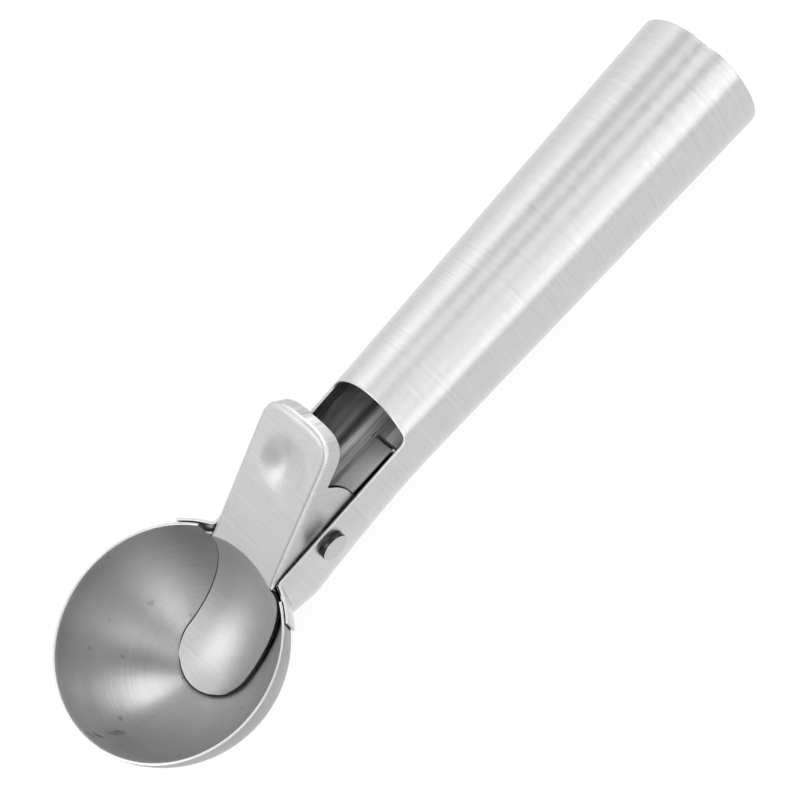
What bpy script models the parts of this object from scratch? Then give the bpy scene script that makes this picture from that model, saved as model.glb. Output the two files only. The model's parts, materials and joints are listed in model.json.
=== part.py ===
"""Ice cream scoop with a thumb lever, all stainless steel sheet.

A hemispherical bowl is welded between the two wings of a tubular handle. Near the bowl
the handle is an open channel. A one-piece stamping pivots on a pin through that channel:
its thumb pad stands above the channel, and its tongue lies along the inside of the bowl
and lifts the ball of ice cream out when the pad is pressed. A V-shaped leaf spring,
hooked into a slot in the channel's floor and bent up behind the pin, brings it back.

Scoop frame: the origin is the centre of the bowl's rim, +X runs along the handle, +Z out
of the bowl's mouth. The whole scoop then hangs under one empty, which tips it so that the
bowl and the end of the handle rest on the ground at Z = 0.
"""
import math

import bmesh
import bpy
from mathutils import Matrix, Vector

MM = 0.001

# Bowl, with a notch in its rim that lets the lever through
BOWL_RADIUS = 25.0 * MM
BOWL_WALL = 0.6 * MM
NOTCH_MARGIN = 3.0 * MM
NOTCH_DEPTH = 3.8 * MM

# Handle: a tapered tube whose bowl end is an open channel
CHANNEL_LENGTH = 40.1 * MM
TUBE_LENGTH = 102.7 * MM
HANDLE_DROP = 5.2 * MM
HANDLE_WALL = 0.6 * MM
MOUTH_RADIUS = 12.75 * MM
END_RADIUS = 15.75 * MM
END_EASE = 0.3 * MM
MOUTH_LEAN = math.radians(18.0)
MOUTH_FILLET = 2.4 * MM
WALL_TOP_AT_BOWL = 0.1 * MM
WALL_TOP_AT_MOUTH = 1.6 * MM
HEEL_REACH = 3.0 * MM
HEEL_DROP = 3.0 * MM
HEEL_ONSET = 3.0
HEEL_SQUARENESS = 4.2
SQUARENESS_ONSET = 1.7
HEEL_ROUND = 2.0 * MM
WALL_SQUARENESS = 2.1
UNDERSIDE_RISE = 0.36

# Wings that hold the bowl
WING_WALL = 0.7 * MM
WING_ANGLE = math.radians(42.3)
WING_BELOW_RIM = 0.1 * MM
WING_HEIGHT = 8.4 * MM
WING_CORNER = math.radians(7.0)
WING_SQUARENESS = 3.0

# Lever: thumb pad, ears and scraper tongue in one sheet
LEVER_WALL = 0.7 * MM
LEVER_ANGLE = math.radians(38.0)
LEVER_INSET = 2.0 * MM
LEVER_BEND = 1.2 * MM
PAD_ROUND = 5.9 * MM
PAD_SQUARENESS = 3.6
SKIRT_DEPTH = 4.4 * MM
DIMPLE_SETBACK = 11.2 * MM
DIMPLE_RADIUS = 7.0 * MM
DIMPLE_DEPTH = 1.1 * MM
EAR_RADIUS = 7.6 * MM
EAR_REACH = 10.8 * MM
EAR_FRONT = 1.0 * MM
EAR_TOP_SETBACK = 11.2 * MM
TONGUE_END = math.radians(103.4)

# Pivot pin
PIN_REACH = 12.3 * MM
PIN_DROP = 2.7 * MM
PIN_RADIUS = 1.6 * MM
PIN_HEAD_RADIUS = 3.25 * MM
PIN_HEAD_HEIGHT = 1.2 * MM
PIN_HEAD_EASE = 0.25 * MM
RIVET_RADIUS = 2.6 * MM
RIVET_HEIGHT = 0.9 * MM

# Return spring, which stands a little to the left of the middle
SPRING_THICKNESS = 0.5 * MM
SPRING_HALF_WIDTH = 2.5 * MM
SPRING_ASIDE = 1.2 * MM
SPRING_TAIL_SETBACK = 3.3 * MM
SPRING_BEND_REACH = 4.2 * MM
SPRING_BEND = 3.0 * MM
SPRING_TIP_SETBACK = 6.0 * MM
SPRING_CURL = 1.6 * MM
SPRING_CURL_TURN = math.radians(72.0)
TAIL_SHARE_OF_WALL = 0.8

# End cap
CAP_THICKNESS = 1.2 * MM
CAP_SKIRT = 6.0 * MM
CAP_SKIRT_WALL = 0.8 * MM

# Clearances
SEAT_GAP = 0.3 * MM
PIN_CLEARANCE = 0.2 * MM
TONGUE_GAP = 0.35 * MM
EAR_GAP = 0.38 * MM
PAD_GAP = 1.9 * MM
SLOT_SIDE_GAP = 1.1 * MM
SLOT_END_GAP = 0.5 * MM

# Facets
BOWL_STEPS = 60
BOWL_RINGS = 13
SEAT_STEPS = 96
RING_POINTS = 44
HEEL_STATIONS = 5
CHANNEL_STATIONS = 8
WING_STEPS = 8
FACE_COLUMNS = 14
FLAT_ROWS = 7
PAD_ROWS = 15
BEND_STEPS = 3
EAR_STEPS = 4
TONGUE_ROWS = 14
CORNER_STEPS = 6
PIN_STEPS = 32
RIVET_RINGS = 3
LOOP_STEPS = 9
CURL_STEPS = 6
CURVE_STEPS = 12

# Places that follow from the sizes above
AXIS_Z = -HANDLE_DROP
BOWL_OUTER = BOWL_RADIUS + BOWL_WALL
SEAT_RADIUS = BOWL_OUTER + SEAT_GAP
TONGUE_RADIUS = BOWL_RADIUS - TONGUE_GAP - LEVER_WALL
HEEL_X = BOWL_RADIUS + HEEL_REACH
MOUTH_X = BOWL_RADIUS + CHANNEL_LENGTH
MOUTH_FOOT_X = MOUTH_X - (MOUTH_RADIUS - HANDLE_DROP - WALL_TOP_AT_MOUTH) * math.tan(MOUTH_LEAN)
HANDLE_LENGTH = MOUTH_X + TUBE_LENGTH
SPRING_TAIL_X = MOUTH_X - SPRING_TAIL_SETBACK
FAR = 2 * (END_RADIUS + HANDLE_DROP)

FACE_ROOT = Vector((BOWL_RADIUS - LEVER_INSET, 0.0, 0.0))
FACE_ALONG = Vector((math.cos(LEVER_ANGLE), 0.0, math.sin(LEVER_ANGLE)))
FACE_NORMAL = Vector((-math.sin(LEVER_ANGLE), 0.0, math.cos(LEVER_ANGLE)))
PIN_CENTRE = Vector((BOWL_RADIUS + PIN_REACH, 0.0, -PIN_DROP))

STEEL = (0.60, 0.60, 0.60)
DARK_STEEL = (0.42, 0.42, 0.43)


def clear_scene():
    for old in list(bpy.data.objects):
        bpy.data.objects.remove(old, do_unlink=True)


def new_collection(name):
    made = bpy.data.collections.new(name)
    bpy.context.scene.collection.children.link(made)
    return made


def new_empty(name, collection):
    made = bpy.data.objects.new(name, None)
    collection.objects.link(made)
    return made


def steel(name, colour, roughness):
    made = bpy.data.materials.new(name)
    made.use_nodes = True
    shader = made.node_tree.nodes["Principled BSDF"]
    shader.inputs["Base Color"].default_value = (*colour, 1.0)
    shader.inputs["Metallic"].default_value = 1.0
    shader.inputs["Roughness"].default_value = roughness
    return made


def object_of(name, shape, collection):
    """Turn a bmesh into an object of the collection."""
    mesh = bpy.data.meshes.new(name)
    shape.to_mesh(mesh)
    shape.free()
    made = bpy.data.objects.new(name, mesh)
    collection.objects.link(made)
    return made


def solid(name, shape, collection):
    """Object of a closed bmesh, with its faces pointing out."""
    bmesh.ops.recalc_face_normals(shape, faces=shape.faces)
    return object_of(name, shape, collection)


def sheet(name, shape, towards, wall, collection, even=True):
    """Object of an open surface whose first face looks one way, with a wall behind it."""
    bmesh.ops.recalc_face_normals(shape, faces=shape.faces)
    shape.faces.ensure_lookup_table()
    if shape.faces[0].normal.dot(towards) < 0:
        bmesh.ops.reverse_faces(shape, faces=shape.faces)
    made = object_of(name, shape, collection)
    thicken = made.modifiers.new("wall", 'SOLIDIFY')
    thicken.thickness = wall
    thicken.offset = -1.0
    thicken.use_even_offset = even
    return made


def finish(part, material, parent, crease=35.0):
    part.data.materials.clear()
    part.data.materials.append(material)
    part.data.shade_smooth()
    part.data.set_sharp_from_angle(angle=math.radians(crease))
    part.parent = parent
    return part


def boolean(part, cutter, operation, parent):
    cutter.hide_render = True
    cutter.display_type = 'WIRE'
    cutter.parent = parent
    step = part.modifiers.new(operation.lower() + "_" + cutter.name, 'BOOLEAN')
    step.object = cutter
    step.operation = operation
    step.solver = 'EXACT'


def quads_between(shape, first, second):
    """Faces between two rows with equal numbers of points."""
    for i in range(len(first) - 1):
        shape.faces.new((first[i], first[i + 1], second[i + 1], second[i]))


def loft(name, rings, collection):
    """Closed solid through rings with equal numbers of points, capped at both ends."""
    shape = bmesh.new()
    rows = [[shape.verts.new(point) for point in ring] for ring in rings]
    for low, high in zip(rows, rows[1:]):
        quads_between(shape, low + low[:1], high + high[:1])
    shape.faces.new(rows[0])
    shape.faces.new(rows[-1])
    return solid(name, shape, collection)


def lathe(name, profile, steps, collection):
    """Turn an outline of (radius, height) points, listed from top to bottom, about Z."""
    shape = bmesh.new()
    points = [shape.verts.new((radius, 0.0, height)) for radius, height in profile]
    for first, second in zip(points, points[1:]):
        shape.edges.new((first, second))
    made = object_of(name, shape, collection)
    turn = made.modifiers.new("turn", 'SCREW')
    turn.steps = steps
    turn.render_steps = steps
    turn.use_merge_vertices = True
    turn.merge_threshold = 0.01 * MM
    return made


def extrude_outline(name, points, half_depth, collection):
    """Prism of an outline of (x, z) points, as deep on both sides of the middle plane."""
    curve = bpy.data.curves.new(name, 'CURVE')
    curve.dimensions = '2D'
    curve.fill_mode = 'BOTH'
    curve.extrude = half_depth
    line = curve.splines.new('POLY')
    line.points.add(len(points) - 1)
    for spot, (x, z) in zip(line.points, points):
        spot.co = (x, z, 0.0, 1.0)
    line.use_cyclic_u = True
    drawn = bpy.data.objects.new(name + "_outline", curve)
    collection.objects.link(drawn)
    bpy.context.view_layer.update()
    seen = drawn.evaluated_get(bpy.context.evaluated_depsgraph_get())
    mesh = bpy.data.meshes.new_from_object(seen)
    bpy.data.objects.remove(drawn, do_unlink=True)
    mesh.transform(Matrix.Rotation(math.pi / 2, 4, 'X'))
    shape = bmesh.new()
    shape.from_mesh(mesh)
    bmesh.ops.remove_doubles(shape, verts=shape.verts, dist=0.01 * MM)
    bpy.data.meshes.remove(mesh)
    return solid(name, shape, collection)


def box(name, low, high, collection):
    shape = bmesh.new()
    bmesh.ops.create_cube(shape, size=1.0)
    size = Vector(high) - Vector(low)
    middle = (Vector(high) + Vector(low)) / 2
    bmesh.ops.scale(shape, vec=size, verts=shape.verts)
    bmesh.ops.translate(shape, vec=middle, verts=shape.verts)
    return solid(name, shape, collection)


def cross_pin(name, radius, half_length, collection):
    """Cylinder along Y on the pivot."""
    shape = bmesh.new()
    place = Matrix.Translation(PIN_CENTRE) @ Matrix.Rotation(math.pi / 2, 4, 'X')
    bmesh.ops.create_cone(shape, cap_ends=True, segments=PIN_STEPS, radius1=radius, radius2=radius,
                          depth=2 * half_length, matrix=place)
    return solid(name, shape, collection)


def spaced(low, high, steps):
    """Values at even steps, both ends included."""
    return [low + (high - low) * i / steps for i in range(steps + 1)]


def arc(centre, radius, start, end, steps):
    """Points on an arc in a plane, both ends included."""
    return [(centre[0] + radius * math.cos(angle), centre[1] + radius * math.sin(angle))
            for angle in spaced(start, end, steps)]


def tube_radius(x):
    """Outer radius of the tapered handle at x, also along the channel."""
    return MOUTH_RADIUS + (END_RADIUS - MOUTH_RADIUS) * (x - MOUTH_X) / TUBE_LENGTH


def channel_share(x):
    """0 where the handle is a round tube, 1 from the heel on towards the bowl."""
    return min(max((MOUTH_X - x) / (MOUTH_X - HEEL_X), 0.0), 1.0)


def section_depth(x):
    """How far the handle's underside lies below its axis at x."""
    depth = tube_radius(max(x, HEEL_X)) + HEEL_DROP * channel_share(x) ** HEEL_ONSET
    past_heel = HEEL_X - x
    rounded = (past_heel + math.hypot(past_heel, HEEL_ROUND)) / 2
    return depth - UNDERSIDE_RISE * rounded * channel_share(x)


def floor_height(x, across):
    """Height of the channel's floor at x, at a distance from the middle."""
    radius = tube_radius(x) - HANDLE_WALL
    power = 2.0 + (HEEL_SQUARENESS - 2.0) * channel_share(x) ** SQUARENESS_ONSET
    depth = section_depth(x) - HANDLE_WALL
    return AXIS_Z - depth * (1.0 - (abs(across) / radius) ** power) ** (1.0 / power)


def half_width_at(x, height, inset=0.0):
    """Half the handle's width at x, at a height above its axis."""
    radius = tube_radius(x) - inset
    power = 2.0 + (WALL_SQUARENESS - 2.0) * channel_share(x)
    return radius * (1.0 - (abs(height) / radius) ** power) ** (1.0 / power)


def handle_section(x, inset=0.0):
    """Ring of the handle's section at x: round above, squarer below towards the bowl."""
    share = channel_share(x)
    radius = tube_radius(x) - inset
    depth = section_depth(x) - inset
    upper = 2.0 + (WALL_SQUARENESS - 2.0) * share
    lower = 2.0 + (HEEL_SQUARENESS - 2.0) * share ** SQUARENESS_ONSET
    ring = []
    for i in range(RING_POINTS):
        angle = 2 * math.pi * i / RING_POINTS
        across = math.cos(angle)
        up = math.sin(angle)
        power = upper if up >= 0 else lower
        height = radius if up >= 0 else depth
        y = radius * math.copysign(abs(across) ** (2.0 / power), across)
        z = height * math.copysign(abs(up) ** (2.0 / power), up)
        ring.append(Vector((x, y, AXIS_Z + z)))
    return ring


def pad_length():
    """Length of the lever's face: pressed level, it stops short of the tube's mouth."""
    arm = FACE_ROOT - PIN_CENTRE
    pressed_root = PIN_CENTRE.x + arm.dot(FACE_ALONG)
    pressed_height = PIN_CENTRE.z + arm.dot(FACE_NORMAL)
    mouth = MOUTH_FOOT_X + (pressed_height - WALL_TOP_AT_MOUTH) * math.tan(MOUTH_LEAN)
    return mouth - PAD_GAP - pressed_root


# The lever drops between the channel's walls, which stand closest at their top near the bowl
CHANNEL_HALF_WIDTH = half_width_at(BOWL_RADIUS, WALL_TOP_AT_BOWL - AXIS_Z, HANDLE_WALL)
LEVER_HALF_WIDTH = CHANNEL_HALF_WIDTH - EAR_GAP
PAD_LENGTH = pad_length()
DIMPLE_PLACE = PAD_LENGTH - DIMPLE_SETBACK
FACE_HALF_WIDTH = LEVER_HALF_WIDTH - LEVER_BEND


def channel_opening():
    """Outline, in X and Z, of what is cut away above the channel."""
    start_x = BOWL_RADIUS / 5
    slope = math.atan2(WALL_TOP_AT_MOUTH - WALL_TOP_AT_BOWL, MOUTH_FOOT_X - BOWL_RADIUS)
    rise = math.pi / 2 - MOUTH_LEAN
    setback = MOUTH_FILLET / math.tan((math.pi - (rise - slope)) / 2)
    centre = (MOUTH_FOOT_X - setback * math.cos(slope) - MOUTH_FILLET * math.sin(slope),
              WALL_TOP_AT_MOUTH - setback * math.sin(slope) + MOUTH_FILLET * math.cos(slope))
    corner = arc(centre, MOUTH_FILLET, slope - math.pi / 2, rise - math.pi / 2, CORNER_STEPS)
    top_x = MOUTH_FOOT_X + (FAR - WALL_TOP_AT_MOUTH) * math.tan(MOUTH_LEAN)
    level = [(start_x, WALL_TOP_AT_BOWL), (BOWL_RADIUS, WALL_TOP_AT_BOWL)]
    return level + corner + [(top_x, FAR), (start_x, FAR)]


def wing(name, side, collection):
    """Curved tab that hugs the bowl, rooted in the channel's wall on one side."""
    root = math.asin((CHANNEL_HALF_WIDTH - 2 * HANDLE_WALL) / SEAT_RADIUS)
    shape = bmesh.new()
    grid = []
    for share in spaced(0.0, 1.0, WING_STEPS):
        z = -WING_BELOW_RIM - WING_HEIGHT * (0.5 - 0.5 * math.cos(math.pi * share))
        edge = max(2.0 * share - 1.0, 0.0)
        reach = WING_ANGLE - WING_CORNER * (1.0 - math.sqrt(1.0 - edge ** WING_SQUARENESS))
        radius = math.sqrt((SEAT_RADIUS + WING_WALL) ** 2 - z * z)
        grid.append([shape.verts.new((radius * math.cos(turn), side * radius * math.sin(turn), z))
                     for turn in spaced(root, reach, WING_STEPS)])
    for low, high in zip(grid, grid[1:]):
        quads_between(shape, low, high)
    outward = Vector((math.cos(root), side * math.sin(root), 0.0))
    return sheet(name, shape, outward, WING_WALL, collection)


def make_bowl(parts, cutters, parent, material):
    quarter = math.pi / 2
    outside = arc((0.0, 0.0), BOWL_OUTER, 0.0, -quarter, BOWL_RINGS)
    inside = arc((0.0, 0.0), BOWL_RADIUS, -quarter, 0.0, BOWL_RINGS)
    outside[-1] = (0.0, -BOWL_OUTER)
    inside[0] = (0.0, -BOWL_RADIUS)
    bowl = lathe("bowl", outside + inside + outside[:1], BOWL_STEPS, parts)
    half_notch = LEVER_HALF_WIDTH + NOTCH_MARGIN
    notch = box("bowl_notch", (BOWL_RADIUS / 2, -half_notch, -NOTCH_DEPTH), (FAR, half_notch, FAR), cutters)
    boolean(bowl, notch, 'DIFFERENCE', parent)
    return finish(bowl, material, parent)


def make_handle(parts, cutters, parent, material):
    inside_bowl = 0.56 * BOWL_RADIUS
    stations = spaced(inside_bowl, HEEL_X, HEEL_STATIONS)
    stations += spaced(HEEL_X, MOUTH_X + HANDLE_WALL, CHANNEL_STATIONS)[1:]
    stations.append(MOUTH_X + TUBE_LENGTH / 2)
    outer = [handle_section(x) for x in stations]
    outer.append(handle_section(HANDLE_LENGTH - END_EASE))
    outer.append(handle_section(HANDLE_LENGTH, END_EASE))
    inner = [handle_section(x, HANDLE_WALL) for x in stations]
    inner.append(handle_section(HANDLE_LENGTH, HANDLE_WALL))
    beyond = Vector((FAR, 0.0, 0.0))
    before_bowl = [point - beyond for point in inner[0]]
    past_end = [point + beyond for point in inner[-1]]
    handle = loft("handle_shell", outer, parts)
    for name, side in (("wing_left", 1), ("wing_right", -1)):
        boolean(handle, wing(name, side, cutters), 'UNION', parent)
    boolean(handle, loft("handle_bore", [before_bowl] + inner + [past_end], cutters), 'DIFFERENCE', parent)
    opening = extrude_outline("channel_opening", channel_opening(), FAR, cutters)
    boolean(handle, opening, 'DIFFERENCE', parent)
    ball = bmesh.new()
    bmesh.ops.create_uvsphere(ball, u_segments=SEAT_STEPS, v_segments=SEAT_STEPS // 2, radius=SEAT_RADIUS)
    boolean(handle, solid("bowl_seat", ball, cutters), 'DIFFERENCE', parent)
    holes = cross_pin("handle_pin_holes", PIN_RADIUS + PIN_CLEARANCE, FAR, cutters)
    boolean(handle, holes, 'DIFFERENCE', parent)
    half_length = SPRING_THICKNESS / 2 + SLOT_END_GAP
    half_width = SPRING_HALF_WIDTH + SLOT_SIDE_GAP
    slot = box("spring_slot", (SPRING_TAIL_X - half_length, SPRING_ASIDE - half_width, AXIS_Z - FAR),
               (SPRING_TAIL_X + half_length, SPRING_ASIDE + half_width, AXIS_Z - MOUTH_RADIUS / 2), cutters)
    boolean(handle, slot, 'DIFFERENCE', parent)
    return finish(handle, material, parent)


def make_end_cap(parts, parent, material):
    """Shallow cup pressed into the handle's end, its flat base flush with the tube."""
    face = tube_radius(HANDLE_LENGTH) - HANDLE_WALL - SEAT_GAP
    rear = tube_radius(HANDLE_LENGTH - CAP_SKIRT) - HANDLE_WALL - SEAT_GAP
    profile = [
        (0.0, 0.0), (face - END_EASE, 0.0), (face, -END_EASE), (rear, -CAP_SKIRT),
        (rear - CAP_SKIRT_WALL, -CAP_SKIRT), (face - CAP_SKIRT_WALL, -CAP_THICKNESS), (0.0, -CAP_THICKNESS)]
    cap = lathe("handle_end_cap", profile, RING_POINTS, parts)
    cap.location = (HANDLE_LENGTH, 0.0, AXIS_Z)
    cap.rotation_euler = (0.0, math.pi / 2, 0.0)
    return finish(cap, material, parent)


def face_point(along, across, drop=0.0):
    """Point of the lever's face, by its distance along, across and below it."""
    return FACE_ROOT + FACE_ALONG * along + Vector((0.0, across, 0.0)) - FACE_NORMAL * drop


def crease_place(across):
    """Distance along the face at which it meets the tongue's sphere."""
    half = FACE_ROOT.x * math.cos(LEVER_ANGLE)
    rest = FACE_ROOT.x ** 2 + across ** 2 - TONGUE_RADIUS ** 2
    return -half + math.sqrt(half ** 2 - rest)


def dimple_drop(along, across):
    reach = math.hypot(along - DIMPLE_PLACE, across) / DIMPLE_RADIUS
    return DIMPLE_DEPTH * math.cos(min(reach, 1.0) * math.pi / 2) ** 2


def corner_set_back(across):
    """How far the pad's round end lies back, by the share of its half width."""
    return 1.0 - (1.0 - min(abs(across), 1.0) ** PAD_SQUARENESS) ** (1.0 / PAD_SQUARENESS)


def ear_edge():
    """Lower edge of an ear: from its front corner, round the pin, up its rear to the skirt."""
    def about_pin(reach, angle):
        return PIN_CENTRE + Vector((reach * math.cos(angle), 0.0, reach * math.sin(angle)))

    below_start = math.radians(-117.0)
    rear_start = math.radians(8.0)
    edge = [Vector((FACE_ROOT.x + EAR_FRONT, 0.0, PIN_CENTRE.z))]
    edge.append(about_pin(1.3 * EAR_RADIUS, math.radians(-150.0)))
    for share in spaced(0.0, 1.0, EAR_STEPS):
        reach = EAR_RADIUS + (EAR_REACH - EAR_RADIUS) * share ** 2
        edge.append(about_pin(reach, below_start + (rear_start - below_start) * share))
    top = face_point(PAD_LENGTH - EAR_TOP_SETBACK, 0.0, SKIRT_DEPTH) - PIN_CENTRE
    top_angle = math.atan2(top.z, top.x)
    for share in spaced(0.0, 1.0, EAR_STEPS)[1:]:
        reach = EAR_REACH + (top.length - EAR_REACH) * share ** 1.5
        edge.append(about_pin(reach, rear_start + (top_angle - rear_start) * share))
    return edge


def smooth_line(points, count):
    """Points at even steps along a Catmull-Rom curve through the given ones."""
    fine = []
    ends = [points[0] * 2 - points[1]] + points + [points[-1] * 2 - points[-2]]
    for a, b, c, d in zip(ends, ends[1:], ends[2:], ends[3:]):
        for t in spaced(0.0, 1.0, CURVE_STEPS)[:-1]:
            fine.append(0.5 * (2 * b + (c - a) * t + (2 * a - 5 * b + 4 * c - d) * t * t
                               + (3 * b - a - 3 * c + d) * t ** 3))
    fine.append(points[-1])
    reach = [0.0]
    for first, second in zip(fine, fine[1:]):
        reach.append(reach[-1] + (second - first).length)
    out = []
    spot = 0
    for goal in spaced(0.0, reach[-1], count - 1):
        while spot < len(fine) - 2 and reach[spot + 1] < goal:
            spot += 1
        share = (goal - reach[spot]) / (reach[spot + 1] - reach[spot])
        out.append(fine[spot].lerp(fine[spot + 1], share))
    return out


def face_rows(shape, columns):
    """Rows of the face: straight sides from the curved crease on, bowed to the pad's end."""
    flat_end = 0.77 * (DIMPLE_PLACE - DIMPLE_RADIUS)
    face_end = PAD_LENGTH - LEVER_BEND
    rows = []
    for share in spaced(0.0, 1.0, FLAT_ROWS):
        row = []
        for t in columns:
            start = crease_place(FACE_HALF_WIDTH * t)
            along = start + (flat_end - start) * share
            row.append(shape.verts.new(face_point(along, FACE_HALF_WIDTH * t)))
        rows.append(row)
    for share in spaced(0.0, 1.0, PAD_ROWS)[1:]:
        row = []
        for t in columns:
            along = flat_end + (face_end - flat_end) * share - PAD_ROUND * share ** 1.5 * corner_set_back(t)
            drop = dimple_drop(along, FACE_HALF_WIDTH * t)
            row.append(shape.verts.new(face_point(along, FACE_HALF_WIDTH * t, drop)))
        rows.append(row)
    for low, high in zip(rows, rows[1:]):
        quads_between(shape, low, high)
    return rows


def edge_chains(shape, rim):
    """From each point of the face's rim, a bend and then the skirt or an ear below it."""
    spots = [Vector(((v.co - FACE_ROOT).dot(FACE_ALONG), v.co.y)) for v in rim]
    ear_top = PAD_LENGTH - EAR_TOP_SETBACK
    ear_count = sum(1 for spot in spots if spot.x < ear_top and spot.y < 0) + 1
    ear = smooth_line(ear_edge(), ear_count)
    chains = []
    for i, vert in enumerate(rim):
        side = abs(spots[i].y) > FACE_HALF_WIDTH - 0.01 * MM
        if side:
            outward = Vector((0.0, math.copysign(1.0, spots[i].y), 0.0))
        else:
            tangent = (spots[i + 1] - spots[i - 1]).normalized()
            outward = FACE_ALONG * tangent.y - Vector((0.0, tangent.x, 0.0))
        flat = vert.co + FACE_NORMAL * dimple_drop(*spots[i])
        chain = [vert]
        for turn in spaced(0.0, math.pi / 2, BEND_STEPS)[1:]:
            out = outward * LEVER_BEND * math.sin(turn)
            down = FACE_NORMAL * LEVER_BEND * (1.0 - math.cos(turn))
            chain.append(shape.verts.new(flat + out - down))
        top = chain[-1].co.copy()
        place = min(i, len(rim) - 1 - i)
        if place < ear_count:
            low = Vector((ear[place].x, top.y, ear[place].z))
        else:
            low = top - FACE_NORMAL * (SKIRT_DEPTH - LEVER_BEND)
        for share in spaced(0.0, 1.0, EAR_STEPS)[1:]:
            chain.append(shape.verts.new(top.lerp(low, share)))
        chains.append(chain)
    for first, second in zip(chains, chains[1:]):
        quads_between(shape, first, second)
    return chains


def tongue_rows(shape, crease, across):
    """Rows of the tongue, on a sphere inside the bowl, from the crease to the round tip."""
    starts = [math.atan2(-v.co.z, v.co.x) for v in crease]
    tip_turn = LEVER_HALF_WIDTH / TONGUE_RADIUS
    above = crease
    for share in spaced(0.0, 1.0, TONGUE_ROWS)[1:]:
        row = []
        for y, start in zip(across, starts):
            back = tip_turn * (1.0 - math.sqrt(max(1.0 - (y / LEVER_HALF_WIDTH) ** 2, 0.0)))
            angle = start + (TONGUE_END - start) * share - back * share ** 3
            ring = math.sqrt(TONGUE_RADIUS ** 2 - y * y)
            row.append(shape.verts.new((ring * math.cos(angle), y, -ring * math.sin(angle))))
        quads_between(shape, above, row)
        above = row


def lever_surface():
    """The lever's visible side as one open surface: face, bends, skirt, ears and tongue."""
    shape = bmesh.new()
    columns = [math.sin(turn) for turn in spaced(-math.pi / 2, math.pi / 2, FACE_COLUMNS)]
    face = face_rows(shape, columns)
    rim = [row[0] for row in face[1:]] + face[-1][1:-1] + [row[-1] for row in reversed(face[1:])]
    chains = edge_chains(shape, rim)

    # The bends grow out of the crease on each side
    bends = [FACE_HALF_WIDTH + LEVER_BEND * math.sin(turn)
             for turn in spaced(0.0, math.pi / 2, BEND_STEPS)[1:]]
    left = [shape.verts.new(face_point(crease_place(y), -y)) for y in reversed(bends)]
    right = [shape.verts.new(face_point(crease_place(y), y)) for y in bends]
    quads_between(shape, (face[0][:1] + left[::-1]), chains[0][:BEND_STEPS + 1])
    quads_between(shape, (face[0][-1:] + right), chains[-1][:BEND_STEPS + 1])
    across = [-y for y in reversed(bends)] + [FACE_HALF_WIDTH * t for t in columns] + bends
    tongue_rows(shape, left + face[0] + right, across)
    return shape


def make_lever(parts, cutters, parent, pivot, material):
    shape = lever_surface()
    bmesh.ops.translate(shape, vec=-PIN_CENTRE, verts=shape.verts)
    lever = sheet("thumb_lever", shape, FACE_NORMAL, LEVER_WALL, parts, even=False)
    holes = cross_pin("lever_pin_holes", PIN_RADIUS + PIN_CLEARANCE, LEVER_HALF_WIDTH + LEVER_WALL, cutters)
    boolean(lever, holes, 'DIFFERENCE', parent)
    return finish(lever, material, pivot)


def make_pin(parts, parent, material):
    """Headed pin, peened over on the far side."""
    seat = max(half_width_at(PIN_CENTRE.x, height) for height in (0.0, PIN_CENTRE.z - AXIS_Z)) + SEAT_GAP
    head = seat + PIN_HEAD_HEIGHT
    profile = [(0.0, head), (PIN_HEAD_RADIUS - PIN_HEAD_EASE, head), (PIN_HEAD_RADIUS, head - PIN_HEAD_EASE),
               (PIN_HEAD_RADIUS, seat), (PIN_RADIUS, seat), (PIN_RADIUS, -seat)]
    for turn in spaced(0.0, math.pi / 2, RIVET_RINGS)[:-1]:
        profile.append((RIVET_RADIUS * math.cos(turn), -seat - RIVET_HEIGHT * math.sin(turn)))
    profile.append((0.0, -seat - RIVET_HEIGHT))
    pin = lathe("pivot_pin", profile, PIN_STEPS, parts)
    pin.location = PIN_CENTRE
    pin.rotation_euler = (math.pi / 2, 0.0, 0.0)
    return finish(pin, material, parent)


def heading_between(first, first_radius, second, second_radius):
    """Heading of a strip that runs from one circle to the next, both on its right side."""
    span = second - first
    return math.atan2(span.y, span.x) - math.asin((first_radius - second_radius) / span.length)


def turned_strip(centre, radius, start, end, steps):
    """Stretch of a strip that turns clockwise round a centre between two headings."""
    quarter = math.pi / 2
    return arc(centre, radius, start + quarter, end + quarter, steps)


def spring_line():
    """Middle line of the leaf spring in X and Z: hooked tail, leg on the floor, bend, curled tip."""
    bend_x = PIN_CENTRE.x + SPRING_BEND_REACH
    side = SPRING_ASIDE + SPRING_HALF_WIDTH
    floor = max(floor_height(x, side) for x in spaced(bend_x, SPRING_TAIL_X, CURVE_STEPS))
    level = floor + SEAT_GAP + SPRING_THICKNESS / 2
    tail = (SPRING_TAIL_X, floor_height(SPRING_TAIL_X, 0.0) - HANDLE_WALL * TAIL_SHARE_OF_WALL)
    bend = Vector((bend_x, level + SPRING_BEND))
    tip_place = PAD_LENGTH - SPRING_TIP_SETBACK
    tip_drop = dimple_drop(tip_place, 0.0) + LEVER_WALL + SEAT_GAP + SPRING_THICKNESS / 2 + SPRING_CURL
    tip = face_point(tip_place, 0.0, tip_drop)
    hub = Vector((tip.x, tip.z))
    to_pad = heading_between(bend, SPRING_BEND, hub, SPRING_CURL)
    line = [tail, (SPRING_TAIL_X, level)]
    line += turned_strip(bend, SPRING_BEND, math.pi, to_pad, LOOP_STEPS)
    line += turned_strip(hub, SPRING_CURL, to_pad, to_pad - SPRING_CURL_TURN, CURL_STEPS)
    return line


def make_spring(parts, parent, material):
    shape = bmesh.new()
    sides = []
    for y in (SPRING_ASIDE - SPRING_HALF_WIDTH, SPRING_ASIDE + SPRING_HALF_WIDTH):
        sides.append([shape.verts.new((x, y, z)) for x, z in spring_line()])
    quads_between(shape, *sides)
    spring = sheet("return_spring", shape, Vector((1.0, 0.0, 0.0)), SPRING_THICKNESS, parts)
    spring.modifiers["wall"].offset = 0.0
    return finish(spring, material, parent)


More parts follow.
